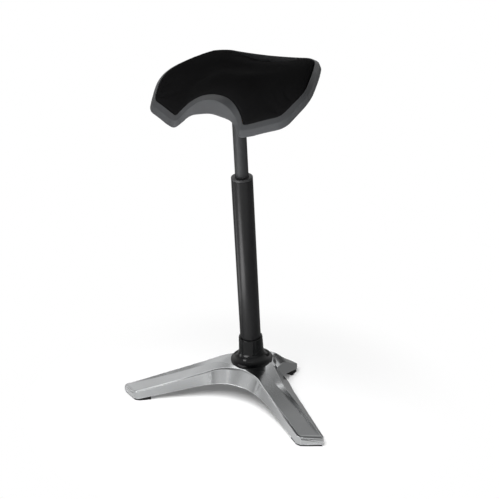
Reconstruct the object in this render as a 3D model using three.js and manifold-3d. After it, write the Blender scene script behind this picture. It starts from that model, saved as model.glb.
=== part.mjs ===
// Perch stool: a saddle seat on a leaning gas-lift column over a low three-legged cast base.
// Millimetres, +Z up. The sitter faces -Y, and the stool is mirrored about X = 0.
import * as THREE from "three";
import { mergeVertices } from "three/addons/utils/BufferGeometryUtils.js";
import Module from "manifold-3d";

const wasm = await Module();
wasm.setup();

// Clearances
const gap = 0.3;
const wideGap = 0.6;

// Column
const leanAngle = 5.52;
const tubeRadius = 25;
const tubeWall = 2.5;
const tubeFoot = 26;
const tubeTop = 560;
const tubeFloor = 4;
const tubeEdgeRound = 1.2;
const bushLip = 7;
const bushLipTop = tubeTop + bushLip;
const bushLipRound = 2.2;
const bushSkirt = 60;
const liftRadius = 15.5;
const liftWall = 2.5;
const liftFoot = 175;
const carrierTop = 750;
const liftTopBelow = 1;
const liftTop = carrierTop - liftTopBelow;
const liftCrown = 22;
const taperLength = 34;
const taperStart = liftTop - taperLength;
const taperDrop = 1.4;
const glandLength = 25;
const rodRadius = 5;
const rodFoot = 18;
const rodTop = 311;
const headLength = 16;
const collarRadius = 8;
const collarHeight = 3;
const washerRadius = 12;
const washerHeight = 2;
const cageHeight = 3;
const cageRadius = 11;
const cageBore = 7;
const bumpRadius = 14;
const bumpHeight = 18;
const clipRadius = 8.5;
const clipHeight = 1.5;
const clipOpening = 5;
const pinRadius = 4;
const pinProud = 10;
const pinFootIn = 1;
const pinFoot = liftTop - liftCrown + pinFootIn;
const pinTop = liftTop + pinProud;
const pinRound = 1;

// Column cover at the hub
const coverRadius = 51.1;
const coverFoot = 84.4;
const coverLip = 4;
const coverWall = 3;
const collarTop = 150;
const collarTopRadius = 28.9;
const collarFoot = 121;
const collarFootRadius = 29.8;
const coverChamfer = 3;
const coverSteps = 6;

// Base casting
const hubTop = 84;
const hubRadius = 52;
const hubSkirtRadius = 60;
const hubSkirtTop = 72;
const hubNeckTop = 60;
const hubFoot = 24;
const hubBossRadius = 36;
const socketLedgeRadius = 20;
const castWall = 5;
const legSteps = 5;

// Leg sections from the centre plane out to the foot: across, forward, height
const wallTopLine = [[0, 65, 76], [48, 79.5, 75], [88, 108, 64], [149, 148.5, 44.5], [215, 192, 25]];
const wallFootLine = [[0, 88, 46.5], [42, 92, 43], [89, 109, 33], [151, 146, 17.5], [213, 192, 7]];
const chamferIn = [3, 3, 3, 5, 6];
const chamferRise = 1.5;
const ridgeLine = [[0, 57, 81], [64.5, 53, 81], [106, 79, 69.5], [170, 114, 48], [255, 165, 23]];
const browLine = [[0, -20, 84], [57, 13, 87], [114, 65, 72.5], [177, 105.5, 51], [259, 160, 23]];
const tailLine = [[0, -62, 50], [68, -42, 26], [118, 10, 24], [186, 79, 23], [265, 158, 20]];
const tailFeet = [30, 14, 13, 12, 7];
const toePoint = [268, 169];
const footAngle = 34;
const heelRound = 12;
const toeFall = 1;
const toeDrop = 7;

// Rear leg
const rearHalfWidth = 57;
const rearEnd = 129;
const rearStart = 20;
const rearRidgeStart = 50;
const rearTopHeight = 84;
const rearShoulderHeight = 62;
const rearTipHeight = 25;
const rearTipFoot = 8;
const rearTipEdge = 2;
const rearUnderHeight = 26;
const rearCrestHalf = 34;
const rearTipBow = 8;
const rearBowSteps = 6;

// Foot pads and their screws
const padInset = 2;
const padTop = 11;
const padLength = 30;
const padHeelInset = 5;
const rearPadLength = 24;
const rearPadTop = 15;
const footScrewRadius = 2;
const footScrewHead = 3.8;
const footScrewHeadHeight = 2.2;
const footScrewLength = 12;
const footScrewRecess = 3;
const footScrewTipGap = 1;
const frontScrewAt = [236, 172];
const rearScrewAt = 116;

// Seat outline of the cushion's edge, in plan: across and forward
const cutHalfChord = 82.6;
const cutCorner = 194.5;
const cutDepth = 33;
const prongRoundIn = [146, 170];
const prongTip = [157, 165];
const prongRoundOut = [161.5, 149];
const sideRun = [[170, 122], [173.5, 98], [169.5, 70], [155, 20], [139, -24]];
const rearCorner = [126, -62];
const rearRoundOut = [98, -72.5];
const rearBow = [50, -73];
const rearMid = 72;
const outlineCounts = [8, 4, 4, 9, 4, 6];
const seatCentre = 58;
const outlineDrawnAt = 750;

// Seat height over the plan
const rimRise = 58;
const rimLevel = carrierTop + rimRise;
const rimSlope = 0.17;
const rimBendStart = 50;
const rimBendRadius = 625 / 3;
const rearBendStart = 30;
const rearBendRadius = 1000 / 3;
const humpHeight = 24;
const humpHalfWidth = 90;
const humpFull = 150;
const humpFade = 30;
const wingHeight = 6;
const wingHalf = 130;
const wingStart = 120;
const wingFull = 10;

// Seat shell section
const chamferReach = 9;
const chamferDrop = 10;
const cutChamferReach = 20;
const cutChamferDrop = 7;
const wallReach = 4;
const wallDrop = 25;
const rearChamferReach = 10;
const rearChamferDrop = 4;
const rearWallReach = 5;
const rearWallDrop = 16;
const rearChangeStart = 160;
const rearChangeFull = 60;
const cutWallReach = 7;
const cutWallDrop = 37;
const cutSpread = 52;
const shellEdgeRound = 3;
const recessDepth = 16;
const shellFloor = 4;
const boardMargin = 3;
const boardThickness = 6;
const rearSink = 12;
const boardRingShares = [0, 0.25, 0.5, 0.75, 1];
const rimBead = 1;

// Cushion
const cushionGap = 1;
const cushionCrown = 7;
const cushionRoll = 16;
const cushionBulge = 5;
const cushionSide = 2.5;
const rearDish = 20;
const rearDishHalf = 78;
const rearDishStart = 10;
const midDish = 5;
const midDishHalf = 110;
const cushionRollIn = 5.3;
const cushionRollRise = 5;
const cushionInnerShares = [0.74, 0.44, 0];

// Seat carrier, tilted to follow the seat
const carrierTilt = 12;
const carrierHalfWidth = 60;
const carrierFront = 50;
const carrierRear = 60;
const carrierCorner = 14;
const carrierThickness = 5;
const carrierSocketRadius = 23;
const socketStartUp = 1;
const carrierSocketFoot = taperStart + socketStartUp;
const boreClear = 4;
const carrierBoreTop = liftTop + boreClear;
const ribThickness = 5;
const ribDepth = 10;
const ribInner = 18;
const ribOuter = 46;
const ribCount = 4;
const boltAcross = 46;
const boltFront = 38;
const boltRear = 46;
const bossRadius = 8.5;
const boltRadius = 3;
const boltHeadRadius = 5.8;
const boltHeadHeight = 4;
const insertRadius = 4.6;
const boltEnd = 1.5;
const insertLength = 4;
const probeRadius = 0.5;
const probeReach = 90;
const cutReach = 40;

// Release lever under the sitter's right thigh
const pivotOffset = 16;
const pivotRadius = 2.5;
const pivotLength = 32;
const pivotHead = 4;
const pivotHeadHeight = 1.5;
const earThickness = 4;
const earHalfWidth = 6;
const leverWidth = 14;
const leverThickness = 6;
const leverClear = 1.5;
const pivotHeight = pinTop + leverThickness / 2 + leverClear;
const leverInner = 9;
const leverBend = 36;
const leverDrop = 27;
const leverThinning = 1;
const leverReach = 112;
const paddleLength = 42;
const paddleWidth = 46;
const paddleThickness = 5;
const paddleCorner = 10;

// Facets round each turned form
const roundSegments = 40;
const smallSegments = 18;
const screwSegments = 16;
const hexSegments = 6;
const cornerSegments = 5;
const earSegments = 8;
const weldTolerance = 1e-4;

const quarterTurn = Math.PI / 2;
const lean = THREE.MathUtils.degToRad(leanAngle);
const tilt = THREE.MathUtils.degToRad(carrierTilt);

// Finishes
const finish = (color, roughness, metalness) => new THREE.MeshStandardMaterial({ color, roughness, metalness });
const polished = finish(0xa6a8a8, 0.22, 1);
const satinBlack = finish(0x1a1b1c, 0.42, 0.3);
const glossBlack = finish(0x0f1011, 0.18, 0);
const darkGrey = finish(0x3a3b3d, 0.5, 0.6);
const shellGrey = finish(0x484a4c, 0.55, 0);
const padBlack = finish(0x0c0c0d, 0.95, 0);
const rubberBlack = finish(0x101010, 0.85, 0);
const steel = finish(0x8d8f92, 0.3, 1);
const darkPlastic = finish(0x202123, 0.6, 0);
const boardBrown = finish(0x8a6a45, 0.7, 0);

// Bare closed surface with shared vertices, turned so that its faces point outwards
function closed(geometry) {
  const bare = geometry.index ? geometry.toNonIndexed() : geometry.clone();
  for (const name of Object.keys(bare.attributes)) {
    if (name !== "position") bare.deleteAttribute(name);
  }
  const merged = mergeVertices(bare, weldTolerance);
  const p = merged.attributes.position;
  const kept = [];
  let volume = 0;
  const a = new THREE.Vector3();
  const b = new THREE.Vector3();
  const c = new THREE.Vector3();
  for (let i = 0; i < merged.index.count; i += 3) {
    const [u, v, w] = [merged.index.getX(i), merged.index.getX(i + 1), merged.index.getX(i + 2)];
    if (u === v || v === w || w === u) continue;
    kept.push(u, v, w);
    a.fromBufferAttribute(p, u);
    b.fromBufferAttribute(p, v);
    c.fromBufferAttribute(p, w);
    volume += a.dot(b.cross(c));
  }
  if (volume < 0) {
    for (let i = 0; i < kept.length; i += 3) [kept[i], kept[i + 1]] = [kept[i + 1], kept[i]];
  }
  merged.setIndex(kept);
  return merged;
}

function toSolid(geometry) {
  const shape = closed(geometry);
  return new wasm.Manifold(new wasm.Mesh({
    numProp: 3,
    vertProperties: new Float32Array(shape.attributes.position.array),
    triVerts: new Uint32Array(shape.index.array),
  }));
}

function toGeometry(solid) {
  const mesh = solid.getMesh();
  const geometry = new THREE.BufferGeometry();
  geometry.setAttribute("position", new THREE.BufferAttribute(new Float32Array(mesh.vertProperties), 3));
  geometry.setIndex(new THREE.BufferAttribute(new Uint32Array(mesh.triVerts), 1));
  return geometry;
}

// Turned form about +Z from [radius, height] pairs
function turned(profile, segments = roundSegments) {
  const points = profile.map(([radius, height]) => new THREE.Vector2(radius, height));
  return closed(new THREE.LatheGeometry(points, segments).rotateX(quarterTurn));
}

function ring(inner, outer, low, high, segments = roundSegments) {
  return turned([[inner, low], [outer, low], [outer, high], [inner, high], [inner, low]], segments);
}

function rod(radius, low, high, segments = smallSegments) {
  return turned([[0, low], [radius, low], [radius, high], [0, high]], segments);
}

// Flat plate in plan from a list of points, between two heights
function slab(points, low, high) {
  const shape = new THREE.Shape(points.map(([x, y]) => new THREE.Vector2(x, y)));
  return closed(new THREE.ExtrudeGeometry(shape, { depth: high - low, bevelEnabled: false }).translate(0, 0, low));
}

function roundedRectangle(left, right, front, rear, corner) {
  const shape = new THREE.Shape();
  shape.moveTo(left + corner, front);
  shape.lineTo(right - corner, front);
  shape.absarc(right - corner, front + corner, corner, -quarterTurn, 0);
  shape.lineTo(right, rear - corner);
  shape.absarc(right - corner, rear - corner, corner, 0, quarterTurn);
  shape.lineTo(left + corner, rear);
  shape.absarc(left + corner, rear - corner, corner, quarterTurn, 2 * quarterTurn);
  shape.lineTo(left, front + corner);
  shape.absarc(left + corner, front + corner, corner, 2 * quarterTurn, 3 * quarterTurn);
  return shape;
}

// Closed skin through rows of points: every row is a closed loop with the same count.
// Each four-sided cell is split along its shorter diagonal, so stacked skins stay parallel.
function skin(rows) {
  const count = rows[0].length;
  const points = rows.flat();
  const positions = points.flat();
  const spread = (i, j) => Math.hypot(...points[i].map((value, axis) => value - points[j][axis]));
  const index = [];
  for (let r = 0; r < rows.length - 1; r += 1) {
    for (let i = 0; i < count; i += 1) {
      const a = r * count + i;
      const b = r * count + ((i + 1) % count);
      const [c, d] = [b + count, a + count];
      if (spread(a, c) < spread(b, d)) index.push(a, b, c, a, c, d);
      else index.push(a, b, d, b, c, d);
    }
  }
  const geometry = new THREE.BufferGeometry();
  geometry.setAttribute("position", new THREE.Float32BufferAttribute(positions, 3));
  geometry.setIndex(index);
  return geometry;
}

// Skin whose first and last rows are closed by flat-shaded caps
function cappedSkin(rows) {
  const geometry = skin(rows);
  const count = rows[0].length;
  const index = Array.from(geometry.index.array);
  const last = (rows.length - 1) * count;
  for (let i = 1; i < count - 1; i += 1) {
    index.push(0, i + 1, i);
    index.push(last, last + i, last + i + 1);
  }
  geometry.setIndex(index);
  return closed(geometry);
}

const root = new THREE.Group();
const column = new THREE.Group();
column.rotation.x = lean;
root.add(column);

function place(parent, name, geometry, material) {
  const mesh = new THREE.Mesh(geometry, material);
  mesh.name = name;
  parent.add(mesh);
  return mesh;
}

const leaned = (geometry) => geometry.clone().rotateX(lean);

// Smooth run through the values of each control section
function smoothRun(values, steps) {
  const points = values.map((value, i) => new THREE.Vector3(i, value, 0));
  const result = [];
  for (let i = 0; i < values.length - 1; i += 1) {
    const before = points[Math.max(i - 1, 0)].y;
    const after = points[Math.min(i + 2, values.length - 1)].y;
    const from = points[i].y;
    const to = points[i + 1].y;
    for (let k = 0; k < steps; k += 1) {
      const t = k / steps;
      const slopeIn = (to - before) / 2;
      const slopeOut = (after - from) / 2;
      const h = t * t * (3 - 2 * t);
      result.push(from + (to - from) * h + slopeIn * t * (1 - t) * (1 - t) - slopeOut * t * t * (1 - t));
    }
  }
  result.push(values[values.length - 1]);
  return result;
}

function smoothLine(points, steps) {
  const [xs, ys, zs] = [0, 1, 2].map((axis) => smoothRun(points.map((point) => point[axis]), steps));
  return xs.map((x, i) => [x, -ys[i], zs[i]]);
}

const footTurn = THREE.MathUtils.degToRad(footAngle);
function legRows(side) {
  const wallTop = smoothLine(wallTopLine, legSteps);
  const wallFoot = smoothLine(wallFootLine, legSteps);
  const insets = smoothRun(chamferIn, legSteps);
  const ridge = smoothLine(ridgeLine, legSteps);
  const brow = smoothLine(browLine, legSteps);
  const tail = smoothLine(tailLine, legSteps);
  const tailLow = smoothRun(tailFeet, legSteps);
  return wallTop.map((top, i) => {
    const reach = Math.hypot(...top.map((value, axis) => ridge[i][axis] - value));
    const share = insets[i] / reach;
    const inner = top.map((value, axis) => value + (ridge[i][axis] - value) * share);
    const loop = [
      wallFoot[i], top, [inner[0], inner[1], inner[2] + chamferRise],
      ridge[i], brow[i], tail[i], [tail[i][0], tail[i][1], tailLow[i]],
    ];
    return loop.map((point) => [point[0] * side, point[1], point[2]]);
  });
}

// The leg's end runs on from the last section to a blunt slanted toe
function legSolid(side) {
  const rows = legRows(side);
  const last = rows[rows.length - 1];
  const toe = last.map((point, i) => {
    const push = i < 3 ? heelRound * Math.cos(footTurn / 2) : toeFall;
    const fall = i > 0 && i < 6 ? toeDrop : 0;
    return [point[0] + push * side, point[1] - (i < 3 ? toeFall : 0), point[2] - fall];
  });
  toe[3] = [toePoint[0] * side, -toePoint[1], last[3][2] - toeDrop];
  toe[4] = [(toePoint[0] + toeFall) * side, -toePoint[1] + heelRound / 4, last[4][2] - toeDrop];
  rows.push(toe);
  return toSolid(cappedSkin(rows));
}

function legHollow(side) {
  const rows = legRows(side).slice(legSteps, -legSteps + 1);
  const inner = rows.map((loop) => {
    const centre = [0, 1, 2].map((axis) => loop.reduce((sum, point) => sum + point[axis], 0) / loop.length);
    return loop.map((point, i) => {
      const dx = centre[0] - point[0];
      const dy = centre[1] - point[1];
      const reach = Math.hypot(dx, dy);
      const share = Math.min(1, castWall / reach * Math.SQRT2);
      const low = i === 0 || i === loop.length - 1;
      const z = low ? -castWall : point[2] - castWall;
      return [point[0] + dx * share, point[1] + dy * share, z];
    });
  });
  return toSolid(cappedSkin(inner));
}

// Rear leg: a short wide wedge with a bowed tip and a roof-shaped top
function rearSolid() {
  const stations = [rearStart, rearRidgeStart, rearEnd];
  const tops = [rearTopHeight, rearTopHeight, rearTipHeight];
  const shoulders = [rearShoulderHeight, rearShoulderHeight, rearTipHeight - rearTipEdge];
  const feet = [rearUnderHeight, rearUnderHeight, rearTipFoot];
  const loops = stations.map((y, i) => [
    [-rearHalfWidth, y, feet[i]], [-rearHalfWidth, y, shoulders[i]], [-rearCrestHalf, y, tops[i]],
    [rearCrestHalf, y, tops[i]], [rearHalfWidth, y, shoulders[i]], [rearHalfWidth, y, feet[i]],
  ]);
  return toSolid(cappedSkin(loops));
}

function tipBow() {
  const points = [[-rearHalfWidth, rearEnd - gap]];
  for (let i = 0; i <= rearBowSteps; i += 1) {
    const share = i / rearBowSteps * 2 - 1;
    points.push([rearHalfWidth * share, rearEnd + rearTipBow * (1 - share * share)]);
  }
  points.push([rearHalfWidth, rearEnd - gap]);
  return toSolid(slab(points, rearTipFoot, rearTipHeight - rearTipEdge));
}

// Base casting
const socketBore = tubeRadius + gap;
const hubBody = leaned(turned([
  [0, hubFoot], [hubBossRadius, hubFoot], [hubBossRadius, hubNeckTop],
  [hubSkirtRadius, hubSkirtTop], [hubRadius, hubTop], [0, hubTop],
]));
const boreCut = leaned(turned([
  [0, 0], [socketLedgeRadius, 0], [socketLedgeRadius, tubeFoot - gap],
  [socketBore, tubeFoot - gap], [socketBore, hubTop + coverLip], [0, hubTop + coverLip],
]));
const innerBoss = toSolid(leaned(rod(hubBossRadius, hubFoot, hubTop - gap, roundSegments)));
const shellOuter = toSolid(hubBody).add(legSolid(1)).add(legSolid(-1)).add(rearSolid()).add(tipBow());
const hollows = legHollow(1).add(legHollow(-1));
const coverSeat = toSolid(leaned(rod(coverRadius + wideGap, hubTop, collarTop, roundSegments)));
const screwHole = rod(footScrewRadius + gap, -gap, footScrewRecess + footScrewLength + footScrewTipGap, screwSegments);
const screwSpots = [
  [frontScrewAt[0], -frontScrewAt[1]], [-frontScrewAt[0], -frontScrewAt[1]], [0, rearScrewAt],
];
let casting = shellOuter.subtract(hollows).add(innerBoss).subtract(toSolid(boreCut)).subtract(coverSeat);
const castingSolid = casting;
for (const [x, y] of screwSpots) casting = casting.subtract(toSolid(screwHole.clone().translate(x, y, 0)));
place(root, "base_casting", toGeometry(casting), polished);

// Foot pads, wedge-shaped to fill the space between the floor and the leg's underside
function frontPadOutline(side) {
  const end = legRows(1).at(-1);
  const [wall, tail] = [end[0], end[5]];
  const toe = [toePoint[0], -toePoint[1]];
  const inX = -Math.cos(footTurn) * padLength;
  const inY = Math.sin(footTurn) * padLength;
  const points = [
    [wall[0] + heelRound - padInset, wall[1] + padInset],
    [toe[0] - padInset, toe[1] + padInset],
    [tail[0] - padInset, tail[1]],
    [tail[0] + inX - padInset, tail[1] + inY - padInset],
    [wall[0] + inX + padInset, wall[1] + inY + padHeelInset],
    [wall[0] - padInset, wall[1] + padHeelInset],
  ];
  return points.map(([x, y]) => [x * side, y]);
}

function footPad(outline, [x, y], top) {
  const block = toSolid(slab(outline, 0, top));
  const above = toSolid(toGeometry(castingSolid).translate(0, 0, -gap));
  const head = rod(footScrewHead + gap, -gap, footScrewRecess + footScrewHeadHeight + gap, screwSegments);
  const shank = rod(footScrewRadius + gap, -gap, footScrewRecess + footScrewLength, screwSegments);
  const cut = toSolid(head.translate(x, y, 0)).add(toSolid(shank.translate(x, y, 0)));
  const parts = block.subtract(above).subtract(cut).decompose();
  parts.sort((a, b) => b.volume() - a.volume());
  return toGeometry(parts[0]);
}

function footScrew(at) {
  const low = footScrewRecess;
  const geometry = turned([
    [0, low], [footScrewHead, low], [footScrewHead, low + footScrewHeadHeight],
    [footScrewRadius, low + footScrewHeadHeight], [footScrewRadius, low + footScrewLength], [0, low + footScrewLength],
  ], screwSegments);
  return geometry.translate(at[0], at[1], 0);
}

const rearPadOutline = [
  [-rearHalfWidth + padInset, rearEnd - rearPadLength], [rearHalfWidth - padInset, rearEnd - rearPadLength],
  [rearHalfWidth - padInset, rearEnd - padInset], [-rearHalfWidth + padInset, rearEnd - padInset],
];
const feet = [
  ["left", frontPadOutline(1), screwSpots[0], padTop],
  ["right", frontPadOutline(-1), screwSpots[1], padTop],
  ["rear", rearPadOutline, screwSpots[2], rearPadTop],
];
for (const [name, outline, at, top] of feet) {
  place(root, `foot_pad_${name}`, footPad(outline, at, top), rubberBlack);
  place(root, `foot_screw_${name}`, footScrew(at), steel);
}

// Column cover: a bell that flares from the collar onto the hub
function coverCurve(offset) {
  const points = [];
  const rise = collarFoot - coverFoot - coverLip;
  const run = coverRadius - collarFootRadius;
  for (let i = 0; i <= coverSteps; i += 1) {
    const angle = i / coverSteps * quarterTurn;
    const radius = coverRadius - run * Math.sin(angle) - offset;
    points.push([radius, coverFoot + coverLip + rise * (1 - Math.cos(angle)) - offset]);
  }
  return points;
}
const coverOuter = coverCurve(0);
const coverInner = coverCurve(coverWall).filter(([radius]) => radius > tubeRadius + wideGap).reverse();
place(column, "column_cover", turned([
  [coverRadius - coverWall, coverFoot], [coverRadius, coverFoot], ...coverOuter,
  [collarTopRadius, collarTop - coverChamfer], [collarTopRadius - coverChamfer / 2, collarTop],
  [tubeRadius + gap, collarTop], [tubeRadius + gap, collarFoot],
  ...coverInner.filter(([, height]) => height > coverFoot + coverWall / 2), [coverRadius - coverWall, coverFoot],
]), glossBlack);

// Support tube, guide bush, gas lift
const tubeInner = tubeRadius - tubeWall;
place(column, "support_tube", turned([
  [rodRadius + wideGap, tubeFoot], [tubeRadius - tubeEdgeRound, tubeFoot], [tubeRadius, tubeFoot + tubeEdgeRound],
  [tubeRadius, tubeTop - tubeEdgeRound], [tubeRadius - tubeEdgeRound, tubeTop], [tubeInner, tubeTop],
  [tubeInner, tubeFoot + tubeFloor], [rodRadius + wideGap, tubeFoot + tubeFloor], [rodRadius + wideGap, tubeFoot],
]), satinBlack);
place(column, "guide_bush", turned([
  [liftRadius + gap, tubeTop - bushSkirt], [tubeInner - gap, tubeTop - bushSkirt], [tubeInner - gap, tubeTop + gap],
  [tubeRadius - bushLipRound / 2, tubeTop + gap], [tubeRadius, tubeTop + gap + bushLipRound / 2],
  [tubeRadius, bushLipTop - bushLipRound], [tubeRadius - bushLipRound, bushLipTop],
  [liftRadius + gap, bushLipTop], [liftRadius + gap, tubeTop - bushSkirt],
]), darkPlastic);
const liftInner = liftRadius - liftWall;
place(column, "lift_cylinder", turned([
  [liftInner, liftFoot], [liftRadius, liftFoot], [liftRadius, taperStart], [liftRadius - taperDrop, liftTop],
  [pinRadius + gap, liftTop], [pinRadius + gap, liftTop - liftCrown], [liftInner, liftTop - liftCrown],
  [liftInner, liftFoot],
]), darkGrey);
place(column, "cylinder_gland", ring(rodRadius + gap, liftInner - gap, liftFoot, liftFoot + glandLength), steel);
const bearingLow = tubeFoot + tubeFloor + gap;
const cageLow = bearingLow + washerHeight + gap;
const upperLow = cageLow + cageHeight + gap;
const shoulderLow = upperLow + washerHeight + gap;
place(column, "piston_rod", turned([
  [0, rodFoot], [rodRadius, rodFoot], [rodRadius, shoulderLow], [collarRadius, shoulderLow],
  [collarRadius, shoulderLow + collarHeight], [rodRadius, shoulderLow + collarHeight],
  [rodRadius, rodTop], [0, rodTop],
], smallSegments), steel);
const headLow = rodTop - headLength;
place(column, "piston_head", ring(rodRadius + gap, liftInner - gap, headLow, rodTop - gap), darkPlastic);
const washerBore = rodRadius + gap;
place(column, "bearing_washer_lower", ring(washerBore, washerRadius, bearingLow, bearingLow + washerHeight), steel);
place(column, "bearing_cage", ring(cageBore, cageRadius, cageLow, cageLow + cageHeight), steel);
place(column, "bearing_washer_upper", ring(washerBore, washerRadius, upperLow, upperLow + washerHeight), steel);
const bumpLow = shoulderLow + collarHeight + gap;
place(column, "bump_stop", ring(washerBore, bumpRadius, bumpLow, bumpLow + bumpHeight), rubberBlack);
function rodClip() {
  const disc = toSolid(ring(washerBore, clipRadius, tubeFoot - gap - clipHeight, tubeFoot - gap, smallSegments));
  const mouth = slab([
    [-clipOpening, 0], [clipOpening, 0], [clipOpening, washerRadius], [-clipOpening, washerRadius],
  ], 0, tubeFoot);
  return toGeometry(disc.subtract(toSolid(mouth)));
}
place(column, "rod_clip", rodClip(), steel);
place(column, "release_pin", turned([
  [0, pinFoot], [pinRadius, pinFoot], [pinRadius, pinTop - pinRound], [pinRadius - pinRound, pinTop], [0, pinTop],
], smallSegments), steel);

// Seat outline, half sampled from the front cut-out round to the rear and then mirrored
const v2 = ([x, forward]) => new THREE.Vector2(x, -forward);
const cutRadius = (cutHalfChord ** 2 + cutDepth ** 2) / (2 * cutDepth);
const cutFront = cutCorner - cutDepth;
const cutAngle = Math.asin(cutHalfChord / cutRadius);
const cutCurve = new THREE.ArcCurve(0, -cutFront - cutRadius, cutRadius, quarterTurn, quarterTurn - cutAngle, true);
const halfCurves = [
  cutCurve,
  new THREE.LineCurve(v2([cutHalfChord, cutCorner]), v2(prongRoundIn)),
  new THREE.QuadraticBezierCurve(v2(prongRoundIn), v2(prongTip), v2(prongRoundOut)),
  new THREE.SplineCurve([v2(prongRoundOut), ...sideRun.map(v2)]),
  new THREE.QuadraticBezierCurve(v2(sideRun.at(-1)), v2(rearCorner), v2(rearRoundOut)),
  new THREE.QuadraticBezierCurve(v2(rearRoundOut), v2(rearBow), new THREE.Vector2(0, rearMid)),
];
const half = [];
halfCurves.forEach((curve, k) => {
  const points = curve.getSpacedPoints(outlineCounts[k]);
  half.push(...(k === halfCurves.length - 1 ? points : points.slice(0, -1)));
});
half[0].x = 0;
half.at(-1).x = 0;
const edge = [...half, ...half.slice(1, -1).reverse().map((point) => new THREE.Vector2(-point.x, point.y))];

// Outward direction at each outline point
const outward = edge.map((point, i) => {
  const before = edge.at(i - 1);
  const after = edge[(i + 1) % edge.length];
  const into = point.clone().sub(before).normalize();
  const away = after.clone().sub(point).normalize();
  const mean = into.add(away).normalize();
  return new THREE.Vector2(mean.y, -mean.x);
});

// The outline is drawn for a column of one height, and moves forward with a higher one
const seatShift = (outlineDrawnAt - carrierTop) * Math.sin(lean);
const ramp = (value, from, to) => THREE.MathUtils.smoothstep(value, from, to);

// Height of the shell's rim and of everything that follows it
function rimHeight(x, y) {
  const forward = -y;
  const bend = Math.max(forward - rimBendStart, 0);
  const rearBend = Math.max(y - rearBendStart, 0);
  const across = Math.min(Math.abs(x) / humpHalfWidth, 1);
  const hump = humpHeight * (1 - across ** 3) ** 1.5 * ramp(forward, humpFade, humpFull);
  const wing = wingHeight * Math.min(Math.abs(x) / wingHalf, 1) ** 2 * ramp(y, -wingStart, -wingFull);
  const drop = bend ** 2 / rimBendRadius / 2 + rearBend ** 2 / rearBendRadius / 2;
  return rimLevel - rimSlope * forward - drop + hump + wing;
}

// How near an outline point is to the middle of the front cut-out, from 0 to 1
function cutNearness(point) {
  return point.y < -seatCentre ? Math.exp(-((point.x / cutSpread) ** 4)) : 0;
}

function offsetRow(reach, drop) {
  return edge.map((point, i) => {
    const out = typeof reach === "function" ? reach(point) : reach;
    const down = typeof drop === "function" ? drop(point) : drop;
    const x = point.x + outward[i].x * out;
    const y = point.y + outward[i].y * out;
    return [x, y + seatShift, rimHeight(point.x, point.y) - down];
  });
}

// Dip behind the middle of the seat, followed by the cushion, the board and the shell's floor
function rearDip(x, y) {
  return Math.exp(-((x / rearDishHalf) ** 2)) * ramp(y, -rearDishStart, rearMid);
}

// Rings of the board's plan, scaled from the seat's middle, at one depth below the rim
const boardEdge = edge.map((point, i) => [point.x - outward[i].x * boardMargin, point.y - outward[i].y * boardMargin]);
function boardRing(share, depth) {
  return boardEdge.map(([x, y]) => {
    const px = x * share;
    const py = (y + seatCentre) * share - seatCentre;
    return [px, py + seatShift, rimHeight(px, py) - depth - rearSink * rearDip(px, py)];
  });
}
const inwards = [...boardRingShares].reverse();

// Seat shell: a tray with a chamfered rim and a skirt
function blended(front, cut, rear) {
  return (point) => {
    const rearShare = ramp(point.y, -rearChangeStart, -rearChangeFull);
    const base = front + (rear - front) * rearShare;
    return base + (cut - base) * cutNearness(point);
  };
}
const chamferOut = blended(chamferReach, cutChamferReach, rearChamferReach);
const chamferDown = blended(chamferDrop, cutChamferDrop, rearChamferDrop);
const wallBeyond = blended(wallReach, cutWallReach, rearWallReach);
const wallOut = (point) => chamferOut(point) + wallBeyond(point);
const wallDown = blended(wallDrop, cutWallDrop, rearWallDrop);
const shellDepth = recessDepth + gap;
const shellRows = [
  ...boardRingShares.map((share) => boardRing(share, shellDepth)),
  offsetRow(-wideGap, shellDepth),
  offsetRow(0, rimBead),
  offsetRow(rimBead, 0),
  offsetRow(chamferOut, chamferDown),
  offsetRow(wallOut, (point) => wallDown(point) - shellEdgeRound),
  offsetRow((point) => wallOut(point) - shellEdgeRound, wallDown),
  ...inwards.map((share) => boardRing(share, shellDepth + shellFloor)),
];
const seatPlane = new THREE.Matrix4();
const axisPoint = new THREE.Vector3(0, 0, carrierTop).applyAxisAngle(new THREE.Vector3(1, 0, 0), lean);
seatPlane.makeRotationX(tilt).setPosition(axisPoint);
const tilted = (geometry) => geometry.clone().applyMatrix4(seatPlane);
const boltSpots = [[-boltAcross, -boltFront], [boltAcross, -boltFront], [-boltAcross, boltRear], [boltAcross, boltRear]];

// Ring rows collapse onto one point in the middle
function trayed(rows) {
  return closed(skin(rows));
}

// Heights above the carrier's plane at which a solid starts and ends at one bolt
const toPlatform = new THREE.Matrix4().copy(seatPlane).invert();
function spotHeights(solid, [x, y]) {
  const probe = tilted(rod(probeRadius, 0, probeReach, hexSegments).translate(x, y, 0));
  const found = toGeometry(solid.intersect(toSolid(probe))).applyMatrix4(toPlatform);
  found.computeBoundingBox();
  return [found.boundingBox.min.z, found.boundingBox.max.z];
}

let shell = toSolid(trayed(shellRows));
let board = toSolid(trayed([
  ...boardRingShares.map((share) => boardRing(share, recessDepth)),
  ...inwards.map((share) => boardRing(share, recessDepth - boardThickness)),
]));
const recess = toSolid(trayed([
  ...boardRingShares.map((share) => boardRing(share, shellDepth)),
  ...inwards.map((share) => boardRing(share, -recessDepth)),
]));
const spots = boltSpots.map((spot) => spotHeights(board, spot));
boltSpots.forEach(([x, y], i) => {
  const boss = rod(bossRadius, gap, spots[i][1], smallSegments).translate(x, y, 0);
  shell = shell.add(toSolid(tilted(boss)).subtract(recess));
});
boltSpots.forEach(([x, y], i) => {
  const seat = spots[i][0];
  const hole = rod(boltRadius + gap, -cutReach, seat + cutReach, screwSegments).translate(x, y, 0);
  shell = shell.subtract(toSolid(tilted(hole)));
  const socket = turned([
    [0, seat - cutReach], [insertRadius + gap, seat - cutReach],
    [insertRadius + gap, seat + cutReach], [0, seat + cutReach],
  ], screwSegments).translate(x, y, 0);
  board = board.subtract(toSolid(tilted(socket)));
});
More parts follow.
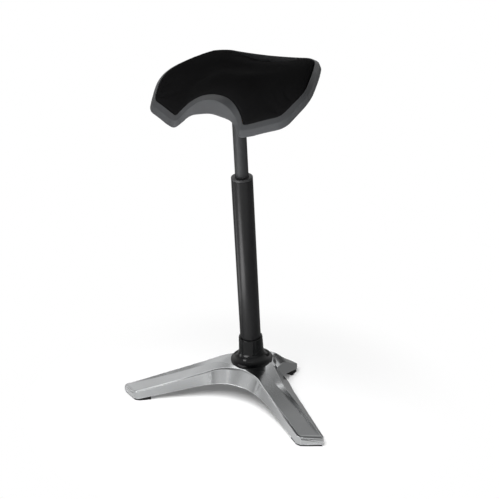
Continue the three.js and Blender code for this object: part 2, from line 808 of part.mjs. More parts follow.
place(root, "seat_shell", toGeometry(shell), shellGrey);
place(root, "cushion_board", toGeometry(board), boardBrown);

// Cushion: crowned, rolled at its edge and dished at the rear
function cushionTop(x, y, crown) {
  const rear = rearDish * rearDip(x, y);
  const middle = midDish * Math.exp(-(((x ** 2) + ((y + seatCentre) ** 2)) / midDishHalf ** 2));
  const share = (1 + crown / cushionCrown) / 2;
  return rimHeight(x, y) + crown - (rear + middle) * share;
}
function cushionRow(inset, crown) {
  return edge.map((point, i) => {
    const x = point.x - outward[i].x * inset;
    const y = point.y - outward[i].y * inset;
    return [x, y + seatShift, cushionTop(x, y, crown)];
  });
}
function cushionRing(share) {
  return edge.map((point, i) => {
    const ex = point.x - outward[i].x * cushionRoll;
    const ey = point.y - outward[i].y * cushionRoll;
    const x = ex * share;
    const y = (ey + seatCentre) * share - seatCentre;
    return [x, y + seatShift, cushionTop(x, y, cushionCrown)];
  });
}
const boardTop = recessDepth - boardThickness - gap;
const cushionRows = [
  ...boardRingShares.map((share) => boardRing(share, boardTop)),
  edge.map((point, i) => {
    const x = point.x - outward[i].x * cushionGap;
    const y = point.y - outward[i].y * cushionGap;
    return [x, y + seatShift, Math.min(rimHeight(point.x, point.y) - cushionBulge, cushionTop(x, y, 0) - cushionSide)];
  }),
  cushionRow(cushionGap + cushionGap, 0),
  cushionRow(cushionRollIn, cushionRollRise),
  cushionRow(cushionRoll, cushionCrown),
  ...cushionInnerShares.map((share) => cushionRing(share)),
];
place(root, "seat_cushion", trayed(cushionRows), padBlack);

// Carrier, its bolts and inserts, all on the tilted seat plane
const platform = new THREE.Group();
platform.position.copy(axisPoint);
platform.rotation.x = tilt;
root.add(platform);
const plateShape = roundedRectangle(-carrierHalfWidth, carrierHalfWidth, -carrierFront, carrierRear, carrierCorner);
const plateGeometry = new THREE.ExtrudeGeometry(plateShape, {
  depth: carrierThickness, bevelEnabled: false, curveSegments: cornerSegments,
}).translate(0, 0, -carrierThickness);
const columnToPlatform = toPlatform.clone().multiply(new THREE.Matrix4().makeRotationX(lean));
const fromColumn = (geometry) => geometry.clone().applyMatrix4(columnToPlatform);
let carrier = toSolid(plateGeometry);
const socketTop = carrierTop - carrierThickness / 2;
carrier = carrier.add(toSolid(fromColumn(rod(carrierSocketRadius, carrierSocketFoot, socketTop, roundSegments))));
for (let k = 0; k < ribCount; k += 1) {
  const rib = slab([
    [ribInner, -ribThickness / 2], [ribOuter, -ribThickness / 2], [ribOuter, ribThickness / 2], [ribInner, ribThickness / 2],
  ], -ribDepth, -carrierThickness / 2).rotateZ((k + 1 / 2) * quarterTurn);
  carrier = carrier.add(toSolid(rib));
}
const bore = [
  [0, carrierSocketFoot - cutReach], [liftRadius + gap, carrierSocketFoot - cutReach], [liftRadius + gap, taperStart],
  [liftRadius - taperDrop + gap, liftTop], [liftRadius - taperDrop + gap, carrierBoreTop], [0, carrierBoreTop],
];
for (const [x, y] of boltSpots) {
  carrier = carrier.subtract(toSolid(rod(boltRadius + gap, -cutReach, cutReach, screwSegments).translate(x, y, 0)));
}

// Lever pivot, held by two ears on the carrier
const pivotPoint = new THREE.Vector3(-pivotOffset, 0, pivotHeight).applyMatrix4(columnToPlatform);
const earSides = [-1, 1];
for (const side of earSides) {
  const inner = leverWidth / 2 + wideGap;
  const y0 = pivotPoint.y + (side > 0 ? inner : -inner - earThickness);
  const shape = new THREE.Shape();
  shape.moveTo(-earHalfWidth, -carrierThickness / 2);
  shape.lineTo(earHalfWidth, -carrierThickness / 2);
  shape.lineTo(earHalfWidth, pivotPoint.z);
  shape.absarc(0, pivotPoint.z, earHalfWidth, 0, 2 * quarterTurn);
  shape.lineTo(-earHalfWidth, -carrierThickness / 2);
  const ear = new THREE.ExtrudeGeometry(shape, { depth: earThickness, bevelEnabled: false, curveSegments: earSegments });
  ear.rotateX(quarterTurn).translate(pivotPoint.x, y0 + earThickness, 0);
  carrier = carrier.add(toSolid(ear));
}
carrier = carrier.subtract(toSolid(fromColumn(turned(bore))));
const acrossRod = (radius, low, high) => rod(radius, low, high, smallSegments).rotateX(-quarterTurn);
const pivotCut = acrossRod(pivotRadius + gap, -pivotLength, pivotLength).translate(pivotPoint.x, pivotPoint.y, pivotPoint.z);
carrier = carrier.subtract(toSolid(pivotCut));
place(platform, "seat_carrier", toGeometry(carrier), darkGrey);
const pinHalf = pivotLength / 2;
const headFrom = leverWidth / 2 + earThickness + wideGap + wideGap;
const pivotPin = turned([
  [0, -headFrom - pivotHeadHeight], [pivotHead, -headFrom - pivotHeadHeight], [pivotHead, -headFrom],
  [pivotRadius, -headFrom], [pivotRadius, pinHalf], [0, pinHalf],
], smallSegments).rotateX(-quarterTurn).translate(pivotPoint.x, pivotPoint.y, pivotPoint.z);
place(platform, "lever_pivot", pivotPin, steel);

// Release lever: a bar over the pin, bent down to a wide paddle
function leverGeometry() {
  const h = leverThickness / 2;
  const side = new THREE.Shape();
  side.moveTo(pivotOffset + leverInner, -h);
  side.lineTo(pivotOffset + leverInner, h);
  side.lineTo(-leverBend + pivotOffset, h);
  side.lineTo(-leverReach + pivotOffset, h - leverDrop);
  side.lineTo(-leverReach + pivotOffset - leverThickness, h - leverDrop);
  side.lineTo(-leverReach + pivotOffset - leverThickness, -h - leverDrop + leverThinning);
  side.lineTo(-leverReach + pivotOffset, -h - leverDrop + leverThinning);
  side.lineTo(-leverBend + pivotOffset, -h);
  side.lineTo(pivotOffset + leverInner, -h);
  const bar = new THREE.ExtrudeGeometry(side, { depth: leverWidth, bevelEnabled: false });
  bar.rotateX(quarterTurn).translate(0, leverWidth / 2, 0);
  const from = -leverReach + pivotOffset;
  const plate = roundedRectangle(from - paddleLength, from, -paddleWidth / 2, paddleWidth / 2, paddleCorner);
  const paddle = new THREE.ExtrudeGeometry(plate, { depth: paddleThickness, bevelEnabled: false, curveSegments: cornerSegments });
  paddle.translate(0, 0, -leverDrop - paddleThickness / 2);
  const hole = acrossRod(pivotRadius + gap, -leverWidth, leverWidth);
  return toGeometry(toSolid(bar).add(toSolid(paddle)).subtract(toSolid(hole)));
}
const lever = place(platform, "release_lever", leverGeometry(), darkPlastic);
lever.position.copy(pivotPoint);

const names = ["front_right", "front_left", "rear_right", "rear_left"];
boltSpots.forEach(([x, y], i) => {
  const middle = (spots[i][0] + spots[i][1]) / 2;
  const shankTop = middle + boltEnd;
  const bolt = toSolid(rod(boltHeadRadius, -carrierThickness - gap - boltHeadHeight, -carrierThickness - gap, hexSegments));
  const shank = toSolid(rod(boltRadius, -carrierThickness - boltHeadHeight, shankTop, screwSegments));
  place(platform, `seat_bolt_${names[i]}`, toGeometry(bolt.add(shank).translate([x, y, 0])), steel);
  const insertFoot = middle - insertLength / 2;
  const insert = ring(boltRadius + gap, insertRadius, insertFoot, insertFoot + insertLength, screwSegments);
  place(platform, `insert_${names[i]}`, insert.translate(x, y, 0), steel);
});

// The origin sits on the floor under the middle of the stool's footprint
root.updateMatrixWorld(true);
const extent = new THREE.Box3().setFromObject(root, true);
root.position.y = -(extent.min.y + extent.max.y) / 2;
root.updateMatrixWorld(true);

const group = new THREE.Group();
group.add(root);
export default group;
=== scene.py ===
"""Perch stool: the finished surfaces, soft goods and finishes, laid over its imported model.

Shapes are worked out in millimetres in the stool's drawing frame (+Z up, the sitter faces -Y)
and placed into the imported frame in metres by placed(). Finishes, lamps and camera use metres.
"""
import math

import bmesh
import bpy
import mathutils
import numpy as np
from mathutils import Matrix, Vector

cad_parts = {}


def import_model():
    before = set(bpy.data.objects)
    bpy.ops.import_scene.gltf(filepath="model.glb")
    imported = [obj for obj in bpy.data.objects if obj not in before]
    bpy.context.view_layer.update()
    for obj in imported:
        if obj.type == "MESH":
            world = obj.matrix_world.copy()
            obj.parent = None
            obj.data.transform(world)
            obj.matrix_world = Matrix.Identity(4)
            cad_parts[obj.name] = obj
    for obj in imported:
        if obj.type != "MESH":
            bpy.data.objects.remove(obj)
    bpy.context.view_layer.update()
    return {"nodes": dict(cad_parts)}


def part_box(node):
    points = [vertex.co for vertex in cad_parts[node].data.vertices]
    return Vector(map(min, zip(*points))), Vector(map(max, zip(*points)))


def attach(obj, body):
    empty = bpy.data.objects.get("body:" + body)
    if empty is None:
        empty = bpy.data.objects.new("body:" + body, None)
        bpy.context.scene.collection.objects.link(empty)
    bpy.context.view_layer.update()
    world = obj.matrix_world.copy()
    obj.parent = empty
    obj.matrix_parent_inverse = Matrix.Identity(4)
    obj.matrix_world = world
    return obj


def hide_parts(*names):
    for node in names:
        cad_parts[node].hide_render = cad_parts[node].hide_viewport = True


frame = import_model()

MM = 0.001
REAR_SCREW_Y = 116.0
screw_low, screw_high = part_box("foot_screw_rear")
SHIFT_Y = (screw_low.y + screw_high.y) / 2 / MM - REAR_SCREW_Y
LEAN = math.radians(5.52)

# Edges that turn less than this many degrees are shaded smooth
SMOOTH_ANGLE = 32.0
# Points closer than this, in metres, are one
MERGE_DISTANCE = 1e-6
# Least length that anything is divided by
TINY = 1e-9
# A rounded corner takes at most this share of a side, and has this many steps
SIDE_SHARE = 0.45
CORNER_STEPS, PROFILE_STEPS = 4, 3
ROUND_SEGMENTS = 128


# Shape helpers

def placed(points):
    """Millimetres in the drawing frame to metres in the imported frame: a shift along Y, a scale."""
    return (np.asarray(points, float) + (0.0, SHIFT_Y, 0.0)) * MM


def leaned(points):
    """Turns points about X by the column's lean: y' = y cos - z sin, z' = y sin + z cos."""
    x, y, z = np.moveaxis(np.asarray(points, float), -1, 0)
    c, s = math.cos(LEAN), math.sin(LEAN)
    return np.stack([x, y * c - z * s, y * s + z * c], -1)


def smoothstep(value, low, high):
    """0 up to low, 1 from high on, and t*t*(3 - 2t) between, t being the share of the way."""
    t = np.clip((value - low) / (high - low), 0, 1)
    return t * t * (3 - 2 * t)


def smooth_run(values, steps, ends=None):
    """Smooth curve through control values (k, ...), with steps points per span.

    Between start and stop, with before and after their outer neighbours and h = t*t*(3 - 2t):
    start + (stop - start) h + (stop - before)/2 t (1 - t)^2 - (after - start)/2 t^2 (1 - t).
    ends gives the neighbours past both ends; without it, the end values repeat.
    """
    v = np.asarray(values, float)
    before_first, after_last = (v[0], v[-1]) if ends is None else ends
    padded = np.concatenate([[before_first], v, [after_last]])
    before, start, stop, after = (padded[i:len(v) - 1 + i, None] for i in range(4))
    t = (np.arange(steps) / steps).reshape((1, steps) + (1,) * (v.ndim - 1))
    h = t * t * (3 - 2 * t)
    run = (start + (stop - start) * h + (stop - before) / 2 * t * (1 - t) ** 2
           - (after - start) / 2 * t ** 2 * (1 - t))
    return np.concatenate([run.reshape((-1,) + v.shape[1:]), v[-1:]])


def softened(points, reach, steps=CORNER_STEPS, ring=True):
    """Rounds every corner of the polylines that run along the last axis but one.

    A corner P between neighbours A and B gives the curve (1-u)^2 Q + 2u(1-u) P + u^2 R, where
    Q and R lie on the two sides, reach away from P but at most SIDE_SHARE of a side.
    """
    p = np.asarray(points, float)
    reach = np.broadcast_to(np.asarray(reach, float), p.shape[:-1])[..., None]

    def side_point(towards):
        way = towards - p
        length = np.linalg.norm(way, axis=-1, keepdims=True)
        share = np.minimum(reach / np.maximum(length, TINY), SIDE_SHARE)
        return p + way * share

    q, r = side_point(np.roll(p, 1, -2)), side_point(np.roll(p, -1, -2))
    if not ring:
        q[..., 0, :] = r[..., 0, :] = p[..., 0, :]
        q[..., -1, :] = r[..., -1, :] = p[..., -1, :]
    u = np.linspace(0, 1, steps + 1)[:, None]
    q, middle, r = q[..., None, :], p[..., None, :], r[..., None, :]
    curve = (1 - u) ** 2 * q + 2 * u * (1 - u) * middle + u ** 2 * r
    return curve.reshape(p.shape[:-2] + (-1, p.shape[-1]))


def grid_faces(rows, columns):
    """Four-sided faces of a grid of points, row by row, closed round each row."""
    r, c = np.meshgrid(np.arange(rows - 1), np.arange(columns), indexing="ij")
    n = (c + 1) % columns
    above, below = r * columns, (r + 1) * columns
    return np.stack([above + c, above + n, below + n, below + c], -1).reshape(-1, 4)


def fan_faces(ring_start, columns, centre, flip=False):
    """Triangles from one ring of points to a centre point."""
    c = np.arange(columns)
    n = (c + 1) % columns
    a, b = (n, c) if flip else (c, n)
    return np.stack([ring_start + a, ring_start + b, np.full(columns, centre)], -1)


def ended(points, count, columns):
    """Points and faces of a skin over closed rows, each end a fan to one of two last points."""
    body = count * columns
    return points, [
        grid_faces(count, columns),
        fan_faces(0, columns, body, True), fan_faces(body - columns, columns, body + 1),
    ]


def capped(rows):
    """Skin over closed rows, with both ends closed to a middle point."""
    middles = [rows[0].mean(0), rows[-1].mean(0)]
    return ended(np.concatenate([rows.reshape(-1, 3), middles]), *rows.shape[:2])


def looped(rows):
    """Skin over closed rows, whose last row joins the first again."""
    count, columns = rows.shape[:2]
    return rows.reshape(-1, 3), [grid_faces(count + 1, columns) % (count * columns)]


def collapsed(rows):
    """Skin over closed rows whose first and last rows are each one point."""
    points = np.concatenate([rows[1:-1].reshape(-1, 3), rows[:1, 0], rows[-1:, 0]])
    return ended(points, len(rows) - 2, rows.shape[1])


def turned(profile, reach, segments=ROUND_SEGMENTS):
    """Closed surface of revolution about the leaning axis, its corners rounded by reach: each
    [radius, height] goes to (radius cos a, radius sin a, height) for a round the axis."""
    loop = softened(profile, reach, PROFILE_STEPS)
    a = np.linspace(0, 2 * math.pi, segments, endpoint=False)[None, :]
    radius, height = loop[:, :1], loop[:, 1:]
    rows = np.stack(np.broadcast_arrays(radius * np.cos(a), radius * np.sin(a), height), -1)
    return looped(leaned(rows))


def mesh_object(name, points, faces, smooth_angle=SMOOTH_ANGLE):
    """Mesh from metre points and blocks of faces, turned outwards, smooth below an angle."""
    sizes = np.concatenate([np.full(len(block), block.shape[1]) for block in faces])
    corners = np.concatenate([block.ravel() for block in faces])
    starts = np.concatenate([[0], np.cumsum(sizes)[:-1]])
    mesh = bpy.data.meshes.new(name)
    mesh.vertices.add(len(points))
    mesh.vertices.foreach_set("co", np.asarray(points, np.float32).ravel())
    mesh.loops.add(len(corners))
    mesh.loops.foreach_set("vertex_index", corners.astype(np.int32))
    mesh.polygons.add(len(sizes))
    mesh.polygons.foreach_set("loop_start", starts.astype(np.int32))
    mesh.update(calc_edges=True)
    mesh.validate()
    obj = bpy.data.objects.new(name, mesh)
    bpy.context.scene.collection.objects.link(obj)
    solid = bmesh.new()
    solid.from_mesh(mesh)
    bmesh.ops.remove_doubles(solid, verts=solid.verts, dist=MERGE_DISTANCE)
    bmesh.ops.recalc_face_normals(solid, faces=solid.faces)
    solid.to_mesh(mesh)
    solid.free()
    mesh.shade_smooth()
    if smooth_angle:
        mesh.set_sharp_from_angle(angle=math.radians(smooth_angle))
    return obj


def weighted(obj):
    """Normals weighted by face size, so that flat faces stay flat beside their rounded edges."""
    modifier = obj.modifiers.new("face weights", "WEIGHTED_NORMAL")
    modifier.mode = "FACE_AREA"
    modifier.keep_sharp = True
    return obj


# Node groups

FLOAT, VECTOR = "NodeSocketFloat", "NodeSocketVector"


def new_group(name, inputs, outputs):
    """Shader node group with inputs [(name, type, default)] and number outputs [name]."""
    group = bpy.data.node_groups.new(name, "ShaderNodeTree")
    for socket_name, kind, default in inputs:
        socket = group.interface.new_socket(name=socket_name, in_out="INPUT", socket_type=kind)
        if default is not None:
            socket.default_value = default
    for socket_name in outputs:
        group.interface.new_socket(name=socket_name, in_out="OUTPUT", socket_type=FLOAT)
    start, end = group.nodes.new("NodeGroupInput"), group.nodes.new("NodeGroupOutput")
    return group, start.outputs, end


def give(tree, socket, value):
    """Links another node's output to an input, or sets the input to a fixed value."""
    if hasattr(value, "is_output"):
        tree.links.new(value, socket)
    else:
        socket.default_value = value


def feed(tree, made, **values):
    """Gives a node's inputs their values by name, with _ for a space."""
    for key, value in values.items():
        give(tree, made.inputs[key.replace("_", " ")], value)


def node(tree, kind, **values):
    """Adds a node, sets its properties, and gives its inputs their values by name."""
    made = tree.nodes.new(kind)
    for key, value in values.items():
        if hasattr(made, key):
            setattr(made, key, value)
        else:
            feed(tree, made, **{key: value})
    return made


def maths(tree, operation, *values, kind="ShaderNodeMath", **settings):
    """Outputs of a new node of number maths on its values in their order."""
    made = node(tree, kind, operation=operation, **settings)
    for socket, value in zip(made.inputs, values):
        give(tree, socket, value)
    return made.outputs


def vector_maths(tree, operation, *values):
    """The same for vectors."""
    return maths(tree, operation, *values, kind="ShaderNodeVectorMath")


def ranged(tree, value, result=(0.0, 1.0), source=(0.0, 1.0), **settings):
    """Carries a value from the span source to the span result, and holds it there."""
    return node(tree, "ShaderNodeMapRange", Value=value, From_Min=source[0], From_Max=source[1],
                To_Min=result[0], To_Max=result[1], **settings).outputs["Result"]


def noise(tree, vector, **values):
    """Height of smooth noise over a vector."""
    return node(tree, "ShaderNodeTexNoise", Vector=vector, **values).outputs["Fac"]


def parts_of(tree, vector):
    """A vector's X, Y and Z, by name."""
    return node(tree, "ShaderNodeSeparateXYZ", Vector=vector).outputs


def grain_group():
    """Fine even grain with a slow drift: Height for bump, Mask for tone and roughness."""
    group, start, end = new_group(
        "grain", [("Vector", VECTOR, None), ("Scale", FLOAT, 400.0), ("Drift Scale", FLOAT, 9.0)],
        ["Height", "Mask", "Drift"],
    )
    fine = noise(group, start["Vector"], Scale=start["Scale"], Detail=3.0, Roughness=0.6)
    slow = noise(group, start["Vector"], Scale=start["Drift Scale"], Detail=4.0)
    feed(group, end, Height=fine, Mask=ranged(group, fine, source=(0.35, 0.65)),
         Drift=ranged(group, slow, source=(0.3, 0.7)))
    return group


def brushed_group():
    """Streaks along one direction: noise on coordinates squeezed across that direction."""
    group, start, end = new_group(
        "brushed", [("Vector", VECTOR, None), ("Squeeze", VECTOR, (30.0, 30.0, 900.0))],
        ["Height", "Mask"],
    )
    scaled = vector_maths(group, "MULTIPLY", start["Vector"], start["Squeeze"])["Vector"]
    streak = noise(group, scaled, Scale=1.0, Detail=4.0)
    feed(group, end, Height=streak, Mask=ranged(group, streak, source=(0.3, 0.7)))
    return group


def edge_group():
    """Mask that is 1 on outside edges, lightened as wear on the mouldings and as a painted highlight
    with some wear on the casting:
    Gain times how far the normal rounded over Radius turns from the face's own."""
    group, start, end = new_group(
        "edges", [("Radius", FLOAT, 0.0012), ("Gain", FLOAT, 6.0)], ["Mask"])
    rounded = node(group, "ShaderNodeBevel", Radius=start["Radius"], samples=4)
    own = node(group, "ShaderNodeNewGeometry")
    near = vector_maths(group, "DOT_PRODUCT", rounded.outputs["Normal"], own.outputs["Normal"])
    away = maths(group, "SUBTRACT", 1.0, near["Value"])[0]
    feed(group, end, Mask=maths(group, "MULTIPLY", away, start["Gain"], use_clamp=True)[0])
    return group


def weave_group():
    """Plain weave of round threads: crossed sine waves whose product rises and falls by turns,
    roughened by noise."""
    group, start, end = new_group(
        "weave", [("Vector", VECTOR, None), ("Threads", FLOAT, 900.0)], ["Height", "Mask"])
    scaled = node(group, "ShaderNodeVectorMath", operation="SCALE", Vector=start["Vector"],
                  Scale=start["Threads"]).outputs["Vector"]
    axes = parts_of(group, scaled)
    across, along = (maths(group, "SINE", axes[axis])[0] for axis in "XY")
    crossed = maths(group, "MULTIPLY", across, along)[0]
    rough = noise(group, scaled, Scale=0.35, Detail=2.0)
    height = maths(group, "MULTIPLY_ADD", crossed, rough, 0.5)[0]
    feed(group, end, Height=height, Mask=ranged(group, height, source=(0.1, 0.9)))
    return group


GRAIN, BRUSHED, EDGES, WEAVE = grain_group(), brushed_group(), edge_group(), weave_group()


# Finishes

def placed_group(tree, group, **values):
    """Adds a node for a node group, gives its inputs their values, and returns its outputs."""
    return node(tree, "ShaderNodeGroup", node_tree=group, **values).outputs


def colour_between(tree, mask, low, high):
    """Colour from low at mask 0 to high at mask 1, each an output or (red, green, blue)."""
    mix = node(tree, "ShaderNodeMix", data_type="RGBA", Factor=mask)
    for key, colour in {"A": low, "B": high}.items():
        give(tree, mix.inputs[key], (*colour, 1) if isinstance(colour, tuple) else colour)
    return mix.outputs["Result"]


def bump(tree, height, strength, distance, **values):
    """Normal tipped by the slope of a height, which a strength of 1 takes as distance metres."""
    made = node(tree, "ShaderNodeBump", Height=height, Strength=strength, Distance=distance,
                **values)
    return made.outputs["Normal"]


def surface(name, **fixed):
    """New material: its tree, its shader with fixed values, and Object coordinates."""
    material = bpy.data.materials.new(name)
    material.use_nodes = True
    tree = material.node_tree
    shader = tree.nodes["Principled BSDF"]
    feed(tree, shader, **fixed)
    coordinates = tree.nodes.new("ShaderNodeTexCoord").outputs["Object"]
    return material, tree, shader, coordinates


def grained(name, dark, light, rough, scale, depth, worn=None, **fixed):
    """Finish with fine grain in its colour, roughness and bump, and maybe lighter worn edges."""
    material, tree, shader, vector = surface(name, **fixed)
    grain = placed_group(tree, GRAIN, Vector=vector, Scale=scale, Drift_Scale=9.0)
    colour = colour_between(tree, grain["Drift"], dark, light)
    if worn:
        edges = placed_group(tree, EDGES, Radius=0.0012, Gain=5.0)
        colour = colour_between(tree, edges["Mask"], colour, worn)
    feed(tree, shader, Base_Color=colour, Roughness=ranged(tree, grain["Mask"], rough),
         Normal=bump(tree, grain["Height"], 1.0, depth))
    return material


def cast_aluminium():
    """Die-cast aluminium, ground and brightened: soft grinding streaks over a slow cloudiness, and
    edges made far lighter, partly wear and partly a painted highlight along the edge lines.
    """
    material, tree, shader, vector = surface("cast_aluminium", Metallic=1.0)
    streaks = placed_group(tree, BRUSHED, Vector=vector, Squeeze=(800.0, 800.0, 22.0))
    cloud = placed_group(tree, GRAIN, Vector=vector, Scale=1500.0, Drift_Scale=14.0)
    edges = placed_group(tree, EDGES, Radius=0.0028, Gain=7.0)
    colour = colour_between(tree, cloud["Drift"], (0.375, 0.382, 0.386), (0.42, 0.428, 0.432))
    # Painted highlight with some wear: the edge mask takes the metal's colour up to a near-white
    # grey along every edge
    feed(tree, shader, Base_Color=colour_between(tree, edges["Mask"], colour, (0.8, 0.81, 0.82)),
         Roughness=ranged(tree, streaks["Mask"], (0.14, 0.2)),
         Normal=bump(tree, streaks["Height"], 0.08, 0.000003))
    return material


def lift_metal():
    """Matt grey coated tube with faint lengthwise polishing."""
    material, tree, shader, vector = surface("lift_metal", Metallic=0.55, Specular_IOR_Level=0.4)
    streaks = placed_group(tree, BRUSHED, Vector=vector, Squeeze=(900.0, 900.0, 12.0))
    grain = placed_group(tree, GRAIN, Vector=vector, Scale=1800.0, Drift_Scale=11.0)
    colour = colour_between(
        tree, streaks["Mask"], (0.026, 0.027, 0.028), (0.038, 0.039, 0.041))
    feed(tree, shader, Base_Color=colour, Roughness=ranged(tree, grain["Mask"], (0.48, 0.6)),
         Normal=bump(tree, grain["Height"], 0.5, 0.00003))
    return material


def seat_fabric():
    """Black upholstery knit: a plain weave with soft fuzz at grazing angles."""
    material, tree, shader, vector = surface(
        "seat_fabric", Sheen_Weight=0.01, Sheen_Roughness=0.3, Sheen_Tint=(0.75, 0.75, 0.78, 1),
        Specular_IOR_Level=0.01)
    weave = placed_group(tree, WEAVE, Vector=vector, Threads=4200.0)
    grain = placed_group(tree, GRAIN, Vector=vector, Scale=700.0, Drift_Scale=7.0)
    colour = colour_between(tree, weave["Mask"], (0.005, 0.005, 0.0053), (0.014, 0.014, 0.0145))
    woven = bump(tree, weave["Height"], 0.6, 0.0002)
    feed(tree, shader, Base_Color=colour, Roughness=ranged(tree, grain["Drift"], (0.78, 0.92)),
         Normal=bump(tree, grain["Height"], 0.3, 0.0002, Normal=woven))
    return material


def plywood():
    """Pressed plywood: long grain lines across the seat."""
    material, tree, shader, vector = surface("plywood", Specular_IOR_Level=0.3)
    lines = placed_group(tree, BRUSHED, Vector=vector, Squeeze=(25.0, 500.0, 500.0))
    feed(tree, shader,
         Base_Color=colour_between(tree, lines["Mask"], (0.25, 0.14, 0.06), (0.42, 0.27, 0.14)),
         Roughness=ranged(tree, lines["Mask"], (0.7, 0.55)),
         Normal=bump(tree, lines["Height"], 0.4, 0.0002))
    return material


FINISHES = {
    "polished_metal": cast_aluminium(),
    "satin_black": grained(
        "satin_powder_coat", dark=(0.006, 0.006, 0.0065), light=(0.008, 0.008, 0.0085),
        rough=(0.26, 0.32), scale=1600.0, depth=0.00002, Specular_IOR_Level=0.22),
    "gloss_black": grained(
        "gloss_moulding", dark=(0.0016, 0.0018, 0.002), light=(0.0024, 0.0027, 0.003),
        rough=(0.09, 0.14), scale=900.0, depth=0.000004, Specular_IOR_Level=0.2),
    "grey_metal": lift_metal(),
    "shell_grey": grained(
        "shell_moulding", dark=(0.056, 0.058, 0.061), light=(0.064, 0.066, 0.069),
        rough=(0.40, 0.5), scale=2300.0, depth=0.00007,
        worn=(0.13, 0.132, 0.136), Specular_IOR_Level=0.2),
    "seat_fabric": seat_fabric(),
    "black_rubber": grained(
        "foot_rubber", dark=(0.006, 0.006, 0.006), light=(0.011, 0.011, 0.011),
        rough=(0.75, 0.9), scale=1400.0, depth=0.0001, Specular_IOR_Level=0.3),
    "bright_steel": grained(
        "plated_steel", dark=(0.45, 0.45, 0.46), light=(0.55, 0.55, 0.56),
        rough=(0.22, 0.34), scale=1900.0, depth=0.00002, Metallic=1.0),
    "dark_plastic": grained(
        "dark_moulding", dark=(0.012, 0.012, 0.013), light=(0.016, 0.016, 0.017),
        rough=(0.42, 0.55), scale=2100.0, depth=0.00006,
        worn=(0.03, 0.03, 0.032), Specular_IOR_Level=0.45),
    "board_wood": plywood(),
}
# Every node that isn't listed here is bright_steel
SLOT_NODES = {
    "polished_metal": ["base_casting"],
    "satin_black": ["support_tube"],
    "gloss_black": ["column_cover"],
    "grey_metal": ["lift_cylinder", "seat_carrier"],
    "shell_grey": ["seat_shell"],
    "seat_fabric": ["seat_cushion"],
    "black_rubber": ["foot_pad_left", "foot_pad_right", "foot_pad_rear", "bump_stop"],
    "dark_plastic": ["guide_bush", "piston_head", "release_lever"],
    "board_wood": ["cushion_board"],
}


def dress(obj, slot):
    """Gives an object its slot's finish alone."""
    obj.data.materials.clear()
    obj.data.materials.append(FINISHES[slot])


node_slot = {name: slot for slot, names in SLOT_NODES.items() for name in names}
for name, obj in frame["nodes"].items():
    dress(obj, node_slot.get(name, "bright_steel"))


def piece(name, shape, slot, body, replaced, smooth_angle=SMOOTH_ANGLE):
    """Object from a shape in millimetres, dressed, on its body and standing for its CAD nodes."""
    points, faces = shape
    obj = mesh_object(name, placed(points), faces, smooth_angle)
    dress(obj, slot)
    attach(obj, body)
    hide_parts(*replaced)
    return obj


# Base casting

CAST_WALL = 5.0
# The column tube's bore through the casting: radius, sides and span along the leaning axis
BORE, BORE_SIDES, BORE_SPAN = 25.3, 96, (-20.0, 130.0)

# Lines along a front leg, each point [across, forward, up], from the centre plane to the toe
WALL_TOP = [[0, 65, 76], [48, 79.5, 75], [88, 108, 64], [149, 148.5, 44.5], [215, 192, 25]]
WALL_FOOT = [[0, 88, 46.5], [42, 92, 43], [89, 109, 33], [151, 146, 17.5], [213, 192, 5.2]]
RIDGE = [[0, 57, 81], [64.5, 53, 81], [106, 79, 69.5], [170, 114, 48], [255, 165, 23]]
BROW = [[0, -20, 84], [57, 13, 87], [114, 65, 72.5], [177, 105.5, 51], [259, 160, 23]]
TAIL = [[0, -62, 50], [68, -42, 26], [118, 10, 24], [186, 79, 23], [265, 158, 20]]
TAIL_FOOT = [30, 14, 13, 10, 5.2]
LEG_SPAN_STEPS = 14
# The chamfer over the inner wall: how far it runs in, and how far it rises
CHAMFER_IN = [3, 3, 3, 5, 6]
CHAMFER_RISE = 1.5
TOE_POINT = (268, -169)
TOE_STEP, TOE_DROP = 1.0, 7.0
TOE_ROWS = 8
FOOT_TURN = math.radians(34)
HEEL_ROUND = 12.0
# The cap on a toe: each row's share of the way to its tip, and how far it stands out
CAP_SHARES, CAP_RISE = (0.06, 0.5, 0.97), 0.6
# Underside of a leg, in walls: distance from the faces, depth below the three upper corners
FACE_WALLS, FRONT_WALLS, ROOF_WALLS, REAR_WALLS = 1.2, 1.6, 1.4, 1.0
# Where the foot is solid, the underside's corners lie this share of the way up to the ridge
FLAT_SHARES = (0.7, 0.35)
# Spans from the centre plane between which the underside fills up towards the foot
FILL_FROM, FILL_TO = 2.6, 3.2
ARRIS_ROUND, FOOT_ROUND = 1.4, 1.0


def leg_sections():
    """Loops of seven corners from the centre plane to the foot, on smooth runs of the lines: 0
    wall's foot, 1 its top, 2 chamfer's inner edge, 3 ridge, 4 brow, 5 tail, 6 tail's foot."""
    def line(points):
        v = np.array(points, float) * (1, -1, 1)
        mirrored = v[1] * (-1, 1, 1)
        return smooth_run(v, LEG_SPAN_STEPS, (mirrored, v[-1]))

    wall_top, wall_foot, ridge, brow, tail = map(line, (WALL_TOP, WALL_FOOT, RIDGE, BROW, TAIL))
    inset = smooth_run(CHAMFER_IN, LEG_SPAN_STEPS)[:, None]
    low = smooth_run(TAIL_FOOT, LEG_SPAN_STEPS)
    across = ridge - wall_top
    inner = wall_top + across * inset / np.linalg.norm(across, axis=1, keepdims=True)
    inner[:, 2] += CHAMFER_RISE
    tail_low = np.column_stack([tail[:, :2], low])
    return np.stack([wall_foot, wall_top, inner, ridge, brow, tail, tail_low], 1)


def toe_loop(last):
    """The blunt, slanted end of the foot: the inner side runs on, and the top falls."""
    push = np.array([HEEL_ROUND * math.cos(FOOT_TURN / 2)] * 3 + [TOE_STEP] * 4)
    fall = np.array([0] + [TOE_DROP] * 5 + [0])
    ahead = np.array([TOE_STEP] * 3 + [0] * 4)
    toe = last + np.stack([push, -ahead, -fall], -1)
    x, y = TOE_POINT
    toe[3] = (x, y, last[3, 2] - TOE_DROP)
    toe[4] = (x + TOE_STEP, y + HEEL_ROUND / 4, last[4, 2] - TOE_DROP)
    return toe


